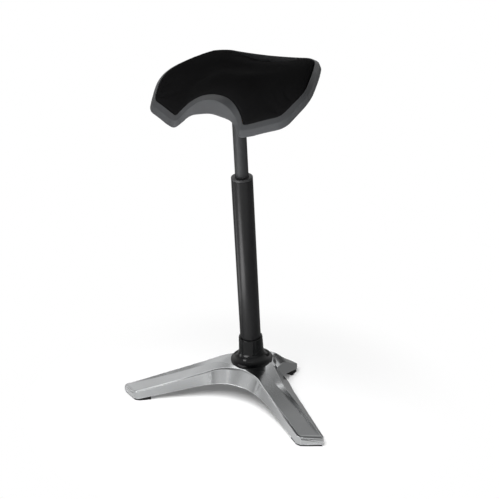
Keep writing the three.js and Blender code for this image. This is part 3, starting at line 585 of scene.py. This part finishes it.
def hollowed(loops, roof):
    """Adds the underside's corners, 7 to 11, from the tail's foot up, across and down to the wall's
    foot. roof is 0 where the foot is solid and 1 where the underside is fully hollow."""
    foot, tail_low = loops[:, 0], loops[:, 6]
    across = tail_low - foot
    across /= np.linalg.norm(across, axis=1, keepdims=True)
    front_in, rear_in = foot + across * CAST_WALL, tail_low - across * CAST_WALL
    front_up = loops[:, 1] + across * CAST_WALL * FACE_WALLS
    rear_up = loops[:, 5] - across * CAST_WALL * FACE_WALLS
    middle = (loops[:, 3] + loops[:, 4]) / 2
    corner = np.column_stack([loops[:, 3, :2], (foot[:, 2] + tail_low[:, 2]) / 2])
    flat = [foot + (corner - foot) * share for share in FLAT_SHARES]
    raised = []
    for high, walls, low in ((rear_up, REAR_WALLS, corner), (middle, ROOF_WALLS, flat[0]),
                             (front_up, FRONT_WALLS, flat[1])):
        high[:, 2] -= CAST_WALL * walls
        raised.append(low + (high - low) * roof[:, None])
    return np.concatenate([loops, np.stack([rear_in, *raised, front_in], 1)], 1)


def legs_shape():
    """Both front legs as one loft from toe to toe, with rounded arrises and bullnosed toes: each
    toe row goes out by the sine of a quarter turn and falls by one less its cosine."""
    half = leg_sections()
    last = half[-1]
    toe = toe_loop(last)
    turn = np.linspace(0, math.pi / 2, TOE_ROWS + 1)[1:, None, None]
    fall = (toe - last) * (0, 0, 1)
    out = (toe - last) * (1, 1, 0)
    half = np.concatenate([half, last + out * np.sin(turn) + fall * (1 - np.cos(turn))])
    fill = smoothstep(np.arange(len(half)), LEG_SPAN_STEPS * FILL_FROM, LEG_SPAN_STEPS * FILL_TO)
    half = hollowed(half, 1 - fill)
    loops = np.concatenate([(half * (-1, 1, 1))[:0:-1], half])
    reach = np.full(loops.shape[1], ARRIS_ROUND)
    reach[[0, 6, 7, 11]] = FOOT_ROUND
    rows = softened(loops, reach)
    tip = half[-1, [3, 8]].mean(0)
    cap = np.stack([rows[-1] + (tip - rows[-1]) * share + (CAP_RISE, 0, 0)
                    for share in CAP_SHARES])
    return capped(np.concatenate([cap[::-1] * (-1, 1, 1), rows, cap]))


# The rear leg's stations along Y, and its heights at the hub and at the end
REAR_STATIONS = [20, 50, 90, 127.0]
REAR_FALL_FROM, REAR_END = 50, 129
REAR_TOP, REAR_SHOULDER, REAR_FOOT = (84, 25), (62, 23), (26, 8)
REAR_HALF, REAR_CREST = 57.0, 34.0
REAR_BOW, REAR_NOSE, NOSE_START, NOSE_DROP = 8.0, 2, 0.8, 2.0
# The rear leg's underside: share of the height that it takes at the sides and in the middle,
# and how solid it is at each station
HOLLOW_SIDE, HOLLOW_MIDDLE = 0.7, 0.75
REAR_SOLID = [0, 0, 0.35, 1.0]
REAR_ROUND = 1.6


def rear_leg_shape():
    """Rear leg: a roof-shaped wedge from the hub to a bowed tip, hollow underneath. The heights
    fall evenly with y, and the tip bows out with 1 - (x / half width)^2."""
    y = np.array(REAR_STATIONS)
    fade = (y - REAR_FALL_FROM).clip(0) / (REAR_END - REAR_FALL_FROM)
    top, shoulder, low = (start + (stop - start) * fade
                          for start, stop in (REAR_TOP, REAR_SHOULDER, REAR_FOOT))
    inside = REAR_HALF - CAST_WALL
    side_roof = low + (shoulder - low) * HOLLOW_SIDE
    corners = [(-REAR_HALF, low), (-REAR_HALF, shoulder), (-REAR_CREST, top), (0, top),
               (REAR_CREST, top), (REAR_HALF, shoulder), (REAR_HALF, low), (inside, low),
               (inside, side_roof), (0, low + (top - low) * HOLLOW_MIDDLE),
               (-inside, side_roof), (-inside, low)]
    loops = np.stack([np.stack(np.broadcast_arrays(x, y, z), -1) for x, z in corners], 1)
    under = loops[:, 8:11, 2]
    under += (loops[:, 7:8, 2] - under) * np.array(REAR_SOLID)[:, None]
    end = loops[-1]
    bow = REAR_BOW * (1 - (end[:, 0] / REAR_HALF) ** 2) + REAR_NOSE
    drop = np.where(end[:, 2] > REAR_SHOULDER[1] / 2, NOSE_DROP, 0.0)
    start = end + np.stack([bow * 0, bow * NOSE_START, bow * 0], -1)
    nose = end + np.stack([bow * 0, bow, -drop], -1)
    return capped(softened(np.concatenate([loops, [start, nose]]), REAR_ROUND))


# Profile of the hub, each corner [radius, height], and how far each corner is rounded
HUB = [[BORE, 24], [36, 24], [36, 60], [60, 72], [60, 74], [52, 84], [40, 84.2], [BORE, 84.2]]
HUB_ROUND = [0.6, 1, 2, 1.5, 1.5, 1.5, 0.5, 0.6]


def bored(obj):
    """Cuts the column tube's round bore right through the front legs, along the leaning axis."""
    a = np.linspace(0, 2 * math.pi, BORE_SIDES, endpoint=False)
    rings = [np.column_stack([BORE * np.cos(a), BORE * np.sin(a), np.full(len(a), z)])
             for z in BORE_SPAN]
    points, faces = capped(np.stack(rings))
    cutter = mesh_object("bore_cutter", placed(leaned(points)), faces)
    cut = obj.modifiers.new("bore", "BOOLEAN")
    cut.operation, cut.solver, cut.object = "DIFFERENCE", "EXACT", cutter
    bpy.context.view_layer.objects.active = obj
    bpy.ops.object.modifier_apply(modifier=cut.name)
    bpy.data.objects.remove(cutter)
    obj.data.shade_smooth()
    obj.data.set_sharp_from_angle(angle=math.radians(SMOOTH_ANGLE))
    return obj


def casting(name, shape):
    """Piece of the base casting."""
    return piece(name, shape, "polished_metal", "base", ["base_casting"])


legs = weighted(bored(casting("casting_front_legs", legs_shape())))
rear_leg = weighted(casting("casting_rear_leg", rear_leg_shape()))
hub = weighted(casting("casting_hub", turned(HUB, HUB_ROUND)))


# Column

# The cover's bell, outside: radius and height at its foot, and how far it narrows and rises
BELL_RADIUS, BELL_FOOT, BELL_NARROWS, BELL_RISES = 51.1, 88.4, 21.3, 32.6
BELL_STEPS, COVER_SEGMENTS = 22, 160
COVER_WALL, COVER_EDGE = 3, 84.5
# The collar over the bell, each corner [radius, height]
COLLAR = [[28.9, 147.8], [28.0, 150], [BORE, 150], [BORE, 119]]
# The bell's inside stops where it would be narrower than this
BELL_END = 27.0
COVER_ROUND, RIM_ROUND, COLLAR_ROUND = 0.4, 0.8, 3.0


def cover_shape():
    """Bell-shaped cover: radius BELL_RADIUS - BELL_NARROWS sin a, height
    BELL_FOOT + BELL_RISES (1 - cos a) over a quarter turn of a, then a straight collar."""
    a = np.linspace(0, math.pi / 2, BELL_STEPS)
    outer = np.column_stack([BELL_RADIUS - BELL_NARROWS * np.sin(a),
                             BELL_FOOT + BELL_RISES * (1 - np.cos(a))])
    inner = outer - COVER_WALL
    inner = inner[inner[:, 0] > BELL_END][::-1]
    profile = np.concatenate([
        [[BELL_RADIUS - COVER_WALL, COVER_EDGE], [BELL_RADIUS, COVER_EDGE]], outer,
        COLLAR, inner,
    ])
    reach = np.full(len(profile), COVER_ROUND)
    reach[:2] = RIM_ROUND
    reach[len(outer) + 1] = COLLAR_ROUND
    return turned(profile, reach, COVER_SEGMENTS)


# Profiles of the straight pieces, each corner [radius, height], and how far corners are rounded
TUBE = [[5.6, 26], [25, 26], [25, 560], [22.5, 560], [22.5, 30], [5.6, 30]]
TUBE_ROUND = 0.8
BUSH = [[15.8, 500], [22.2, 500], [22.2, 560.3], [25.0, 560.3], [25.0, 567], [15.8, 567]]
BUSH_ROUND = [0.3, 0.3, 0.2, 1.1, 2.4, 0.5]
LIFT = [[13, 175], [15.5, 175], [15.5, 715], [14.1, 749], [4.3, 749], [4.3, 727], [13, 727]]
LIFT_ROUND = 0.5

cover = piece("cover_bell", cover_shape(), "gloss_black", "base", ["column_cover"])
piece("outer_tube", turned(TUBE, TUBE_ROUND), "satin_black", "base", ["support_tube"])
piece("bush_lip", turned(BUSH, BUSH_ROUND), "dark_plastic", "base", ["guide_bush"])
piece("lift_tube", turned(LIFT, LIFT_ROUND), "grey_metal", "seat", ["lift_cylinder"])


# Seat plan

CUT_HALF_CHORD, CUT_CORNER, CUT_DEPTH = 82.6, 194.5, 33.0
PRONG_IN, PRONG_TIP, PRONG_OUT = (146, -170), (157, -165), (161.5, -149)
SIDE_RUN = [(170, -122), (173.5, -98), (169.5, -70), (155, -20), (139, 24)]
REAR_CORNER, REAR_OUT = (126, 62), (98, 72.5)
REAR_BEND, REAR_MID = (50, 73), 72.0
# Points along each run of half the outline, and samples that they are taken from
OUTLINE_COUNTS = (8, 4, 4, 9, 4, 6)
RUN_SAMPLES, SIDE_SAMPLES = 200, 60
SEAT_CENTRE = 58.0
# Steps between two outline points on the finished rows
FINER = 6


def evenly(curve, count):
    """count + 1 points at equal distances along a finely sampled curve."""
    lengths = np.linalg.norm(np.diff(curve, axis=0), axis=1)
    run = np.concatenate([[0], np.cumsum(lengths)])
    at = np.linspace(0, run[-1], count + 1)
    return np.column_stack([np.interp(at, run, curve[:, k]) for k in (0, 1)])


def bent(a, b, c, t):
    """Quadratic curve (1-t)^2 a + 2t(1-t) b + t^2 c."""
    a, b, c = (np.array(p, float) for p in (a, b, c))
    return (1 - t) ** 2 * a + 2 * t * (1 - t) * b + t ** 2 * c


def unit(v):
    """Rows of vectors at length 1."""
    return v / np.linalg.norm(v, axis=1, keepdims=True)


def seat_edge():
    """Outline of the seat in plan, from the front cut-out's middle round by the side, and its
    outward directions. The cut-out is an arc of radius (half chord^2 + depth^2) / (2 depth)."""
    radius = (CUT_HALF_CHORD ** 2 + CUT_DEPTH ** 2) / (2 * CUT_DEPTH)
    front = CUT_CORNER - CUT_DEPTH
    a = np.linspace(0, math.asin(CUT_HALF_CHORD / radius), RUN_SAMPLES)
    t = np.linspace(0, 1, RUN_SAMPLES)[:, None]
    cut = np.column_stack([radius * np.sin(a), -front - radius + radius * np.cos(a)])
    chord = np.array([CUT_HALF_CHORD, -CUT_CORNER]) * (1 - t) + np.array(PRONG_IN) * t
    runs = [cut, chord, bent(PRONG_IN, PRONG_TIP, PRONG_OUT, t),
            smooth_run([PRONG_OUT, *SIDE_RUN], SIDE_SAMPLES),
            bent(SIDE_RUN[-1], REAR_CORNER, REAR_OUT, t),
            bent(REAR_OUT, REAR_BEND, (0, REAR_MID), t)]
    sampled = [evenly(run, count) for run, count in zip(runs, OUTLINE_COUNTS)]
    half = np.concatenate([points[:-1] for points in sampled[:-1]] + [sampled[-1]])
    half[[0, -1], 0] = 0
    edge = np.concatenate([half, half[-2:0:-1] * (-1, 1)])
    along = unit(unit(edge - np.roll(edge, 1, 0)) + unit(np.roll(edge, -1, 0) - edge))
    return edge, np.column_stack([along[:, 1], -along[:, 0]])


EDGE, OUT = seat_edge()

RIM_LEVEL, RIM_SLOPE = 808, 0.17
# Factor on the square of the distance past a line, and where that line lies
FRONT_CURVE, FRONT_FROM = 0.0024, 50
REAR_CURVE, REAR_FROM = 0.0015, 30
# The hump at the front middle, and the wings beside the sitter
HUMP_RISE, HUMP_HALF, HUMP_SPAN = 24, 90, (30, 150)
WING_RISE, WING_HALF, WING_SPAN = 6, 130, (-120, -10)
# The hollow in the rear
DIP_HALF, DIP_SPAN = 78, (-10, 72)


def rim_height(x, y):
    """Seat height over the plan: the rim's level less a straight slope to the front and a square
    bend at both ends, plus the hump, (1 - (x / half)^3)^1.5, and the wings, (x / half)^2."""
    forward = -y
    hump_share = (1 - np.clip(np.abs(x) / HUMP_HALF, 0, 1) ** 3) ** 1.5
    hump = HUMP_RISE * hump_share * smoothstep(forward, *HUMP_SPAN)
    wing = WING_RISE * np.clip(np.abs(x) / WING_HALF, 0, 1) ** 2 * smoothstep(y, *WING_SPAN)
    front = FRONT_CURVE * np.clip(forward - FRONT_FROM, 0, None) ** 2
    rear = REAR_CURVE * np.clip(y - REAR_FROM, 0, None) ** 2
    return RIM_LEVEL - RIM_SLOPE * forward - front - rear + hump + wing


def rear_dip(x, y):
    """The hollow in the seat's rear: exp(-(x / half)^2) times a smooth step to the rear."""
    return np.exp(-(x / DIP_HALF) ** 2) * smoothstep(y, *DIP_SPAN)


def finer_round(rows):
    """More points round each closed row: a smooth run through every row's points."""
    columns = np.swapaxes(rows, 0, 1)
    run = smooth_run(np.concatenate([columns, columns[:1]]), FINER, (columns[-1], columns[1]))
    return np.swapaxes(run[:-1], 0, 1)


def rounded_rows(rows, reach, steps):
    """Closed rows made finer round the outline, then rounded from row to row by reach."""
    columns = np.swapaxes(finer_round(np.array(rows)), 0, 1)
    return np.swapaxes(softened(columns, reach, steps, ring=False), 0, 1)


# Half width of the cut-out's share, and where along Y the prongs' share ends
CUT_FADE = 52
PRONG_SPAN = (-160, -60)


def blended(front, cut, rear):
    """A value for each outline point: front on the prongs, passing smoothly into rear behind, and
    in the cut-out drawn towards cut by exp(-(x / CUT_FADE)^4)."""
    x, y = EDGE.T
    near = np.where(y < -SEAT_CENTRE, np.exp(-(x / CUT_FADE) ** 4), 0)
    base = front + (rear - front) * smoothstep(y, *PRONG_SPAN)
    return base + (cut - base) * near


# Round the seat: the chamfer's reach and drop, and then the wall's
CHAMFER_OUT, CHAMFER_DOWN = blended(9, 20, 10), blended(10, 7, 4)
WALL_OUT, WALL_DOWN = CHAMFER_OUT + blended(4, 7, 5), blended(25, 37, 16)
SHELL_SKIN = 3
# Depths below the rim of the shell's floor and underside, and of the cushion's underside
SHELL_FLOOR, SHELL_UNDER = 16.3, 20.3
CUSHION_UNDER = 9.7
BOARD_INSET, BOARD_DIP = 3, 12
# Shares of the way from the seat's centre to its board's edge
BOARD_RINGS = (0, 0.12, 0.25, 0.5, 0.75, 1)
# The shell's rim, each row (reach outside the outline, drop below the rim's height)
RIM_ROWS = [(-0.6, SHELL_FLOOR), (0, 1), (1, 0), (CHAMFER_OUT, CHAMFER_DOWN),
            (WALL_OUT, WALL_DOWN), (WALL_OUT - SHELL_SKIN, WALL_DOWN)]
# How far the rows are rounded: floor, rim's three rows, chamfer and wall, and the rest
FLOOR_ROUND, LIP_ROUND, SKIRT_ROUND, SHELL_ROUND = 8.0, 0.5, (1.6, 2.6), 3.0


def offset_row(reach, drop):
    """Row round the seat, reach outside its outline and drop below its rim."""
    plan = EDGE + OUT * np.broadcast_to(reach, len(EDGE))[:, None]
    return np.column_stack([plan, rim_height(*EDGE.T) - drop])


def towards_centre(plan, share):
    """Plan points at a share of their way out from the seat's centre."""
    return plan[:, 0] * share, (plan[:, 1] + SEAT_CENTRE) * share - SEAT_CENTRE


def board_rows(depth, shares=BOARD_RINGS):
    """Rows from the seat's centre to its board's edge, depth below the rim and dipping behind."""
    rows = []
    for share in shares:
        x, y = towards_centre(EDGE - OUT * BOARD_INSET, share)
        rows.append(np.column_stack([x, y, rim_height(x, y) - depth - BOARD_DIP * rear_dip(x, y)]))
    return rows


def shell_shape():
    """Moulded tray: floor, rim, chamfer, skirt and underside as rows round the seat's outline."""
    rows = board_rows(SHELL_FLOOR) + [offset_row(*row) for row in RIM_ROWS]
    rows += board_rows(SHELL_UNDER, BOARD_RINGS[::-1])
    lip = len(BOARD_RINGS)
    reach = np.full(len(rows), SHELL_ROUND)
    reach[:lip] = FLOOR_ROUND
    reach[lip:lip + 3] = LIP_ROUND
    reach[lip + 3:lip + 5] = SKIRT_ROUND
    return collapsed(rounded_rows(rows, reach, CORNER_STEPS))


# Cushion

DISH_DEPTH, DISH_RADIUS, REAR_DEPTH = 5, 110, 20
# Crown at which the dish and the rear's hollow reach their full depth
FULL_CROWN = 7
# Rows over the rolled edge, each (inset from the outline, crown), and shares of the top inside
EDGE_ROWS = [(blended(0.3, 0.3, 2)[:, None], 0), (blended(2.4, 2.4, 3.4)[:, None], 2.6),
             (5.4, 4.4), (10, 5.4), (16, 6.4)]
TOP_SHARES = (0.87, 0.74, 0.59, 0.44, 0.22, 0)
SIDE_DROP, EDGE_DROP = 5, 2.5
PAD_ROUND, PAD_BASE_ROUND, PAD_STEPS = 4.0, 2.0, 3


def cushion_top(x, y, crown):
    """Height of the pad: the rim plus its crown, less a round dish in the middle and the rear's
    hollow, both growing with the crown."""
    rear = REAR_DEPTH * rear_dip(x, y)
    middle = DISH_DEPTH * np.exp(-(x ** 2 + (y + SEAT_CENTRE) ** 2) / DISH_RADIUS ** 2)
    return rim_height(x, y) + crown - (rear + middle) * (1 + crown / FULL_CROWN) / 2


def cushion_shape():
    """Padded top: rings on the board, a short side, a rolled edge and a crowned, dished top."""
    rows = board_rows(CUSHION_UNDER)
    plan = EDGE - OUT * blended(-1, -1, 1)[:, None]
    side = np.minimum(rim_height(*EDGE.T) - SIDE_DROP, cushion_top(*plan.T, 0) - EDGE_DROP)
    rows.append(np.column_stack([plan, side]))
    for inset, crown in EDGE_ROWS:
        plan = EDGE - OUT * inset
        rows.append(np.column_stack([plan, cushion_top(*plan.T, crown)]))
    # The last edge row's plan and crown carry on over the top
    for share in TOP_SHARES:
        x, y = towards_centre(plan, share)
        rows.append(np.column_stack([x, y, cushion_top(x, y, crown)]))
    reach = np.full(len(rows), PAD_ROUND)
    reach[:len(BOARD_RINGS)] = PAD_BASE_ROUND
    return collapsed(rounded_rows(rows, reach, PAD_STEPS))


# The pad's stuffing: points whose normal rises less than this keep their place
HELD_SLOPE = 0.15
SWELL_PRESSURE, SWELL_FRAMES = 4.0, 20
# Metres: the even mesh's spacing, and the farthest that a point moves
VOXEL, SWELL_CAP = 0.0042, 0.003


def vectors(collection, name):
    """One vector of each vertex, as an array."""
    values = np.empty(len(collection) * 3, np.float32)
    collection.foreach_get(name, values)
    return values.reshape(-1, 3)


def stuffed(obj):
    """Remeshes a closed pad evenly, lets cloth swell under light pressure, and limits each
    point's move to SWELL_CAP."""
    remesh = obj.modifiers.new("even", "REMESH")
    remesh.mode, remesh.voxel_size = "VOXEL", VOXEL
    bpy.context.view_layer.objects.active = obj
    bpy.ops.object.modifier_apply(modifier=remesh.name)
    start = vectors(obj.data.vertices, "co")
    normals = vectors(obj.data.vertices, "normal")
    held = obj.vertex_groups.new(name="held")
    held.add(np.flatnonzero(normals[:, 2] < HELD_SLOPE).tolist(), 1.0, "REPLACE")
    cloth = obj.modifiers.new("swell", "CLOTH")
    cloth.settings.use_pressure = True
    cloth.settings.uniform_pressure_force = SWELL_PRESSURE
    cloth.settings.vertex_group_mass = "held"
    cloth.settings.effector_weights.gravity = 0.0
    scene = bpy.context.scene
    for step in range(1, SWELL_FRAMES + 1):
        scene.frame_set(step)
    evaluated = obj.evaluated_get(bpy.context.evaluated_depsgraph_get())
    move = vectors(evaluated.data.vertices, "co") - start
    length = np.linalg.norm(move, axis=1, keepdims=True)
    move *= np.minimum(1, SWELL_CAP / np.maximum(length, TINY))
    obj.modifiers.remove(cloth)
    obj.vertex_groups.clear()
    obj.data.vertices.foreach_set("co", (start + move).ravel())
    obj.data.update()
    scene.frame_set(1)


weighted(piece("moulded_shell", shell_shape(), "shell_grey", "seat", ["seat_shell"]))
cushion = piece("stuffed_cushion", cushion_shape(), "seat_fabric", "seat", ["seat_cushion"], 0)
stuffed(cushion)
finish = cushion.modifiers.new("smooth", "SUBSURF")
finish.levels = finish.render_levels = 1
cushion.data.shade_smooth()


# Studio

# Half the floor's side, and how far it lies below the stool's feet
FLOOR_HALF, FLOOR_SINK = 6, 0.0005
# The floor turns white between these distances from the column; near it keeps FLOOR_LIFT of that
WHITE_FROM, WHITE_TO = 0.22, 0.55
FLOOR_LIFT = 0.1
# In reflections the floor is darker behind the stool, a painted shadow, between these places along Y
PAINTED_SHADOW_FROM, PAINTED_SHADOW_TO, PAINTED_SHADOW_GLOW = -0.25, 0.02, 0.28
WORLD_LEVEL = 0.15
# Sine of the height above the horizon, and how bright a reflection finds the room there
REFLECTED = [(0.0, 0.42), (0.16, 0.8), (0.3, 1.0), (0.52, 1.0), (0.78, 0.5), (0.95, 0.22)]
# Height that the reflecting cards face, and height that the glowing strips lie at
CARD_AIM, STRIP_LIFT = 0.4, 0.0005


def stage_plane(name, centre, u, v):
    """Flat card spanned by two half-length vectors."""
    c, u, v = (np.array(p, float) for p in (centre, u, v))
    corners = np.array([c - u - v, c + u - v, c + u + v, c - u + v])
    obj = mesh_object(name, corners, [np.array([[0, 1, 2, 3]])], 0)
    return obj


def floor_material():
    """Pale matt floor near the stool that keeps its shadow, turning white with distance where only
    the camera and reflections see it, and darker behind the stool in reflections as a painted
    shadow."""
    material, tree, shader, vector = surface(
        "studio_floor", Roughness=0.9, Specular_IOR_Level=0.0)
    grain = placed_group(tree, GRAIN, Vector=vector, Scale=60.0, Drift_Scale=2.0)
    feed(tree, shader, Base_Color=colour_between(tree, grain["Drift"], (0.95,) * 3, (0.96,) * 3))
    path = tree.nodes.new("ShaderNodeLightPath").outputs
    reflected = path["Is Glossy Ray"]
    distance = vector_maths(tree, "LENGTH", vector)["Value"]
    far = ranged(tree, distance, (FLOOR_LIFT, 1.0), (WHITE_FROM, WHITE_TO),
                 interpolation_type="SMOOTHSTEP")
    # Painted shadow: in reflections the floor's glow dims behind the stool
    dark = ranged(tree, parts_of(tree, vector)["Y"], source=(PAINTED_SHADOW_FROM, PAINTED_SHADOW_TO),
                  interpolation_type="SMOOTHSTEP")
    seen = maths(tree, "MAXIMUM", path["Is Camera Ray"], reflected)[0]
    white_share = maths(tree, "MULTIPLY", far, seen)[0]
    painted_shadow_share = maths(tree, "MULTIPLY", dark, reflected)[0]
    glow_share = maths(tree, "MAXIMUM", white_share, painted_shadow_share)[0]
    glow = node(tree, "ShaderNodeEmission", Strength=ranged(tree, painted_shadow_share, (1.0, PAINTED_SHADOW_GLOW)))
    mix = tree.nodes.new("ShaderNodeMixShader")
    for socket, value in zip(mix.inputs, (glow_share, shader.outputs[0], glow.outputs[0])):
        give(tree, socket, value)
    feed(tree, tree.nodes["Material Output"], Surface=mix.outputs[0])
    return material


floor = stage_plane("floor", (0, 0, -FLOOR_SINK), (FLOOR_HALF, 0, 0), (0, FLOOR_HALF, 0))
floor.data.materials.append(floor_material())


def grey(level):
    """Colour stop with the same red, green and blue."""
    return (level, level, level, 1)


def world():
    """White to the camera, a plain even light on everything, and in reflections white at the
    horizon, dimming overhead where a studio's ceiling is."""
    made = bpy.data.worlds.new("studio")
    bpy.context.scene.world = made
    made.use_nodes = True
    tree = made.node_tree
    path = tree.nodes.new("ShaderNodeLightPath").outputs
    reflected = path["Is Glossy Ray"]
    seen = maths(tree, "MAXIMUM", path["Is Camera Ray"], path["Is Transmission Ray"])[0]
    bright = maths(tree, "MAXIMUM", seen, reflected)[0]
    way = tree.nodes.new("ShaderNodeTexCoord").outputs["Generated"]
    ramp = node(tree, "ShaderNodeValToRGB", Fac=parts_of(tree, way)["Z"])
    ramp.color_ramp.interpolation = "EASE"
    stops = ramp.color_ramp.elements
    for stop, (place, level) in zip(stops, (REFLECTED[0], REFLECTED[-1])):
        stop.position, stop.color = place, grey(level)
    for place, level in REFLECTED[1:-1]:
        stops.new(place).color = grey(level)
    feed(tree, tree.nodes["Background"], Strength=ranged(tree, bright, (WORLD_LEVEL, 1.0)),
         Color=colour_between(tree, reflected, (1, 1, 1), ramp.outputs["Color"]))


world()


def soft_lamp(name, place, target, size, power):
    """Large square lamp that faces a target and that neither the camera nor reflections see."""
    lamp = bpy.data.lights.new(name, "AREA")
    lamp.shape, lamp.size, lamp.energy = "SQUARE", size, power
    obj = bpy.data.objects.new(name, lamp)
    bpy.context.scene.collection.objects.link(obj)
    obj.location = place
    way = np.array(target, float) - np.array(place, float)
    obj.rotation_euler = mathutils.Vector(way).to_track_quat("-Z", "Y").to_euler()
    obj.visible_camera = obj.visible_glossy = False
    return obj


def linked(name, *objects):
    """Collection of objects that a lamp's light is linked to."""
    made = bpy.data.collections.new(name)
    for obj in objects:
        made.objects.link(obj)
    return made


# The key lights the stool alone, low from the front; the floor's own lamp lights the floor alone
key = soft_lamp("key", (0.75, -2.3, 0.1), (0, 0, 0.5), size=1.2, power=104)
not_floor = linked("all_but_floor", floor)
not_floor.collection_objects[0].light_linking.link_state = "EXCLUDE"
key.light_linking.receiver_collection = not_floor
soft_lamp("top", (-0.9, -0.9, 2.4), (0, 0, 0.75), size=1.0, power=6)
floor_lamp = soft_lamp("floor_light", (0.3, -1.55, 2.4), (0, 0, 0), size=1.8, power=101)
floor_lamp.light_linking.receiver_collection = linked("lit_floor", floor)
floor_lamp.light_linking.blocker_collection = linked(
    "casts_floor_shadow", legs, rear_leg, hub, cover)


def glowing(card, strength):
    """Gives a card an even glow that only reflections see."""
    material = bpy.data.materials.new(card.name)
    material.use_nodes = True
    tree = material.node_tree
    glow = node(tree, "ShaderNodeEmission", Strength=strength)
    feed(tree, tree.nodes["Material Output"], Surface=glow.outputs[0])
    card.data.materials.append(material)
    card.visible_camera = card.visible_diffuse = card.visible_shadow = False
    card.visible_transmission = False


def reflector(name, place, half_width, half_height, strength):
    """Upright glowing card that faces the stool."""
    place = np.array(place, float)
    facing = np.array([0, 0, CARD_AIM]) - place
    right = np.cross(facing, (0, 0, 1))
    right *= half_width / np.linalg.norm(right)
    up = np.cross(right, facing)
    up *= half_height / np.linalg.norm(up)
    glowing(stage_plane(name, place, right, up), strength)


def floor_strip(name, bearing, near, far, half_width, strength):
    """Strip on the floor that points at the column, which reflects it as an upright band. Its
    bearing is in degrees from straight ahead of the stool, towards +X."""
    turn = math.radians(bearing)
    way = np.array([math.sin(turn), -math.cos(turn), 0])
    across = np.array([way[1], -way[0], 0]) * half_width
    middle = way * (near + far) / 2 + (0, 0, STRIP_LIFT)
    glowing(stage_plane(name, middle, way * (far - near) / 2, across), strength)


# Name, place, half width, half height, strength
for card in (
    ("high_card", (-1.15, 0.6, 2.45), 0.75, 0.45, 2.2),
    ("crest_card", (0.6, -2.0, 1.5), 0.9, 0.12, 2.0),
    ("back_card", (-1.5, 1.65, 1.35), 0.7, 0.5, 1.1),
    ("horizon_card", (-1.1, -2.2, 0.85), 0.5, 0.25, 9.0),
    ("dark_card", (-0.45, 2.0, 0.32), 1.4, 0.42, 0.1),
):
    reflector(*card)
# Name, bearing, near and far end, half width, strength
for strip in (
    ("front_strip", -17, 0.42, 1.4, 0.22, 9.0),
    ("left_strip", -74, 0.42, 1.4, 0.1, 3.5),
    ("right_strip", 98, 0.4, 2.2, 0.6, 0.3),
    ("right_toe_strip", 50, 0.325, 0.55, 0.1, 0.25),
    ("left_toe_strip", -55, 0.325, 0.42, 0.1, 0.4),
):
    floor_strip(*strip)


# Camera

# The fitted camera: degrees to the stool's left and up, and its place in the drawing frame
AZIMUTH, ELEVATION = math.radians(28.52), math.radians(20.07)
CAMERA_X, CAMERA_Y, CAMERA_Z = 1.16115, -2.13653, 1.30846
FOCAL_LENGTH, SENSOR_WIDTH = 79.504, 36.0
LENS_SHIFT = (-0.00784, -0.0416)


def camera():
    """Camera at the photograph's place, looking back along the direction of its two angles."""
    right = (math.cos(AZIMUTH), math.sin(AZIMUTH), 0)
    level = math.cos(ELEVATION)
    back = (math.sin(AZIMUTH) * level, -math.cos(AZIMUTH) * level, math.sin(ELEVATION))
    up = np.cross(back, right)
    lens = bpy.data.cameras.new("photo")
    lens.lens, lens.sensor_width, lens.sensor_fit = FOCAL_LENGTH, SENSOR_WIDTH, "HORIZONTAL"
    lens.shift_x, lens.shift_y = LENS_SHIFT
    obj = bpy.data.objects.new("photo", lens)
    bpy.context.scene.collection.objects.link(obj)
    turn = mathutils.Matrix(np.column_stack([right, up, back]).tolist())
    place = mathutils.Matrix.Translation((CAMERA_X, CAMERA_Y + SHIFT_Y * MM, CAMERA_Z))
    obj.matrix_world = place @ turn.to_4x4()
    bpy.context.scene.camera = obj


camera()
bpy.context.scene.view_settings.view_transform = "Standard"
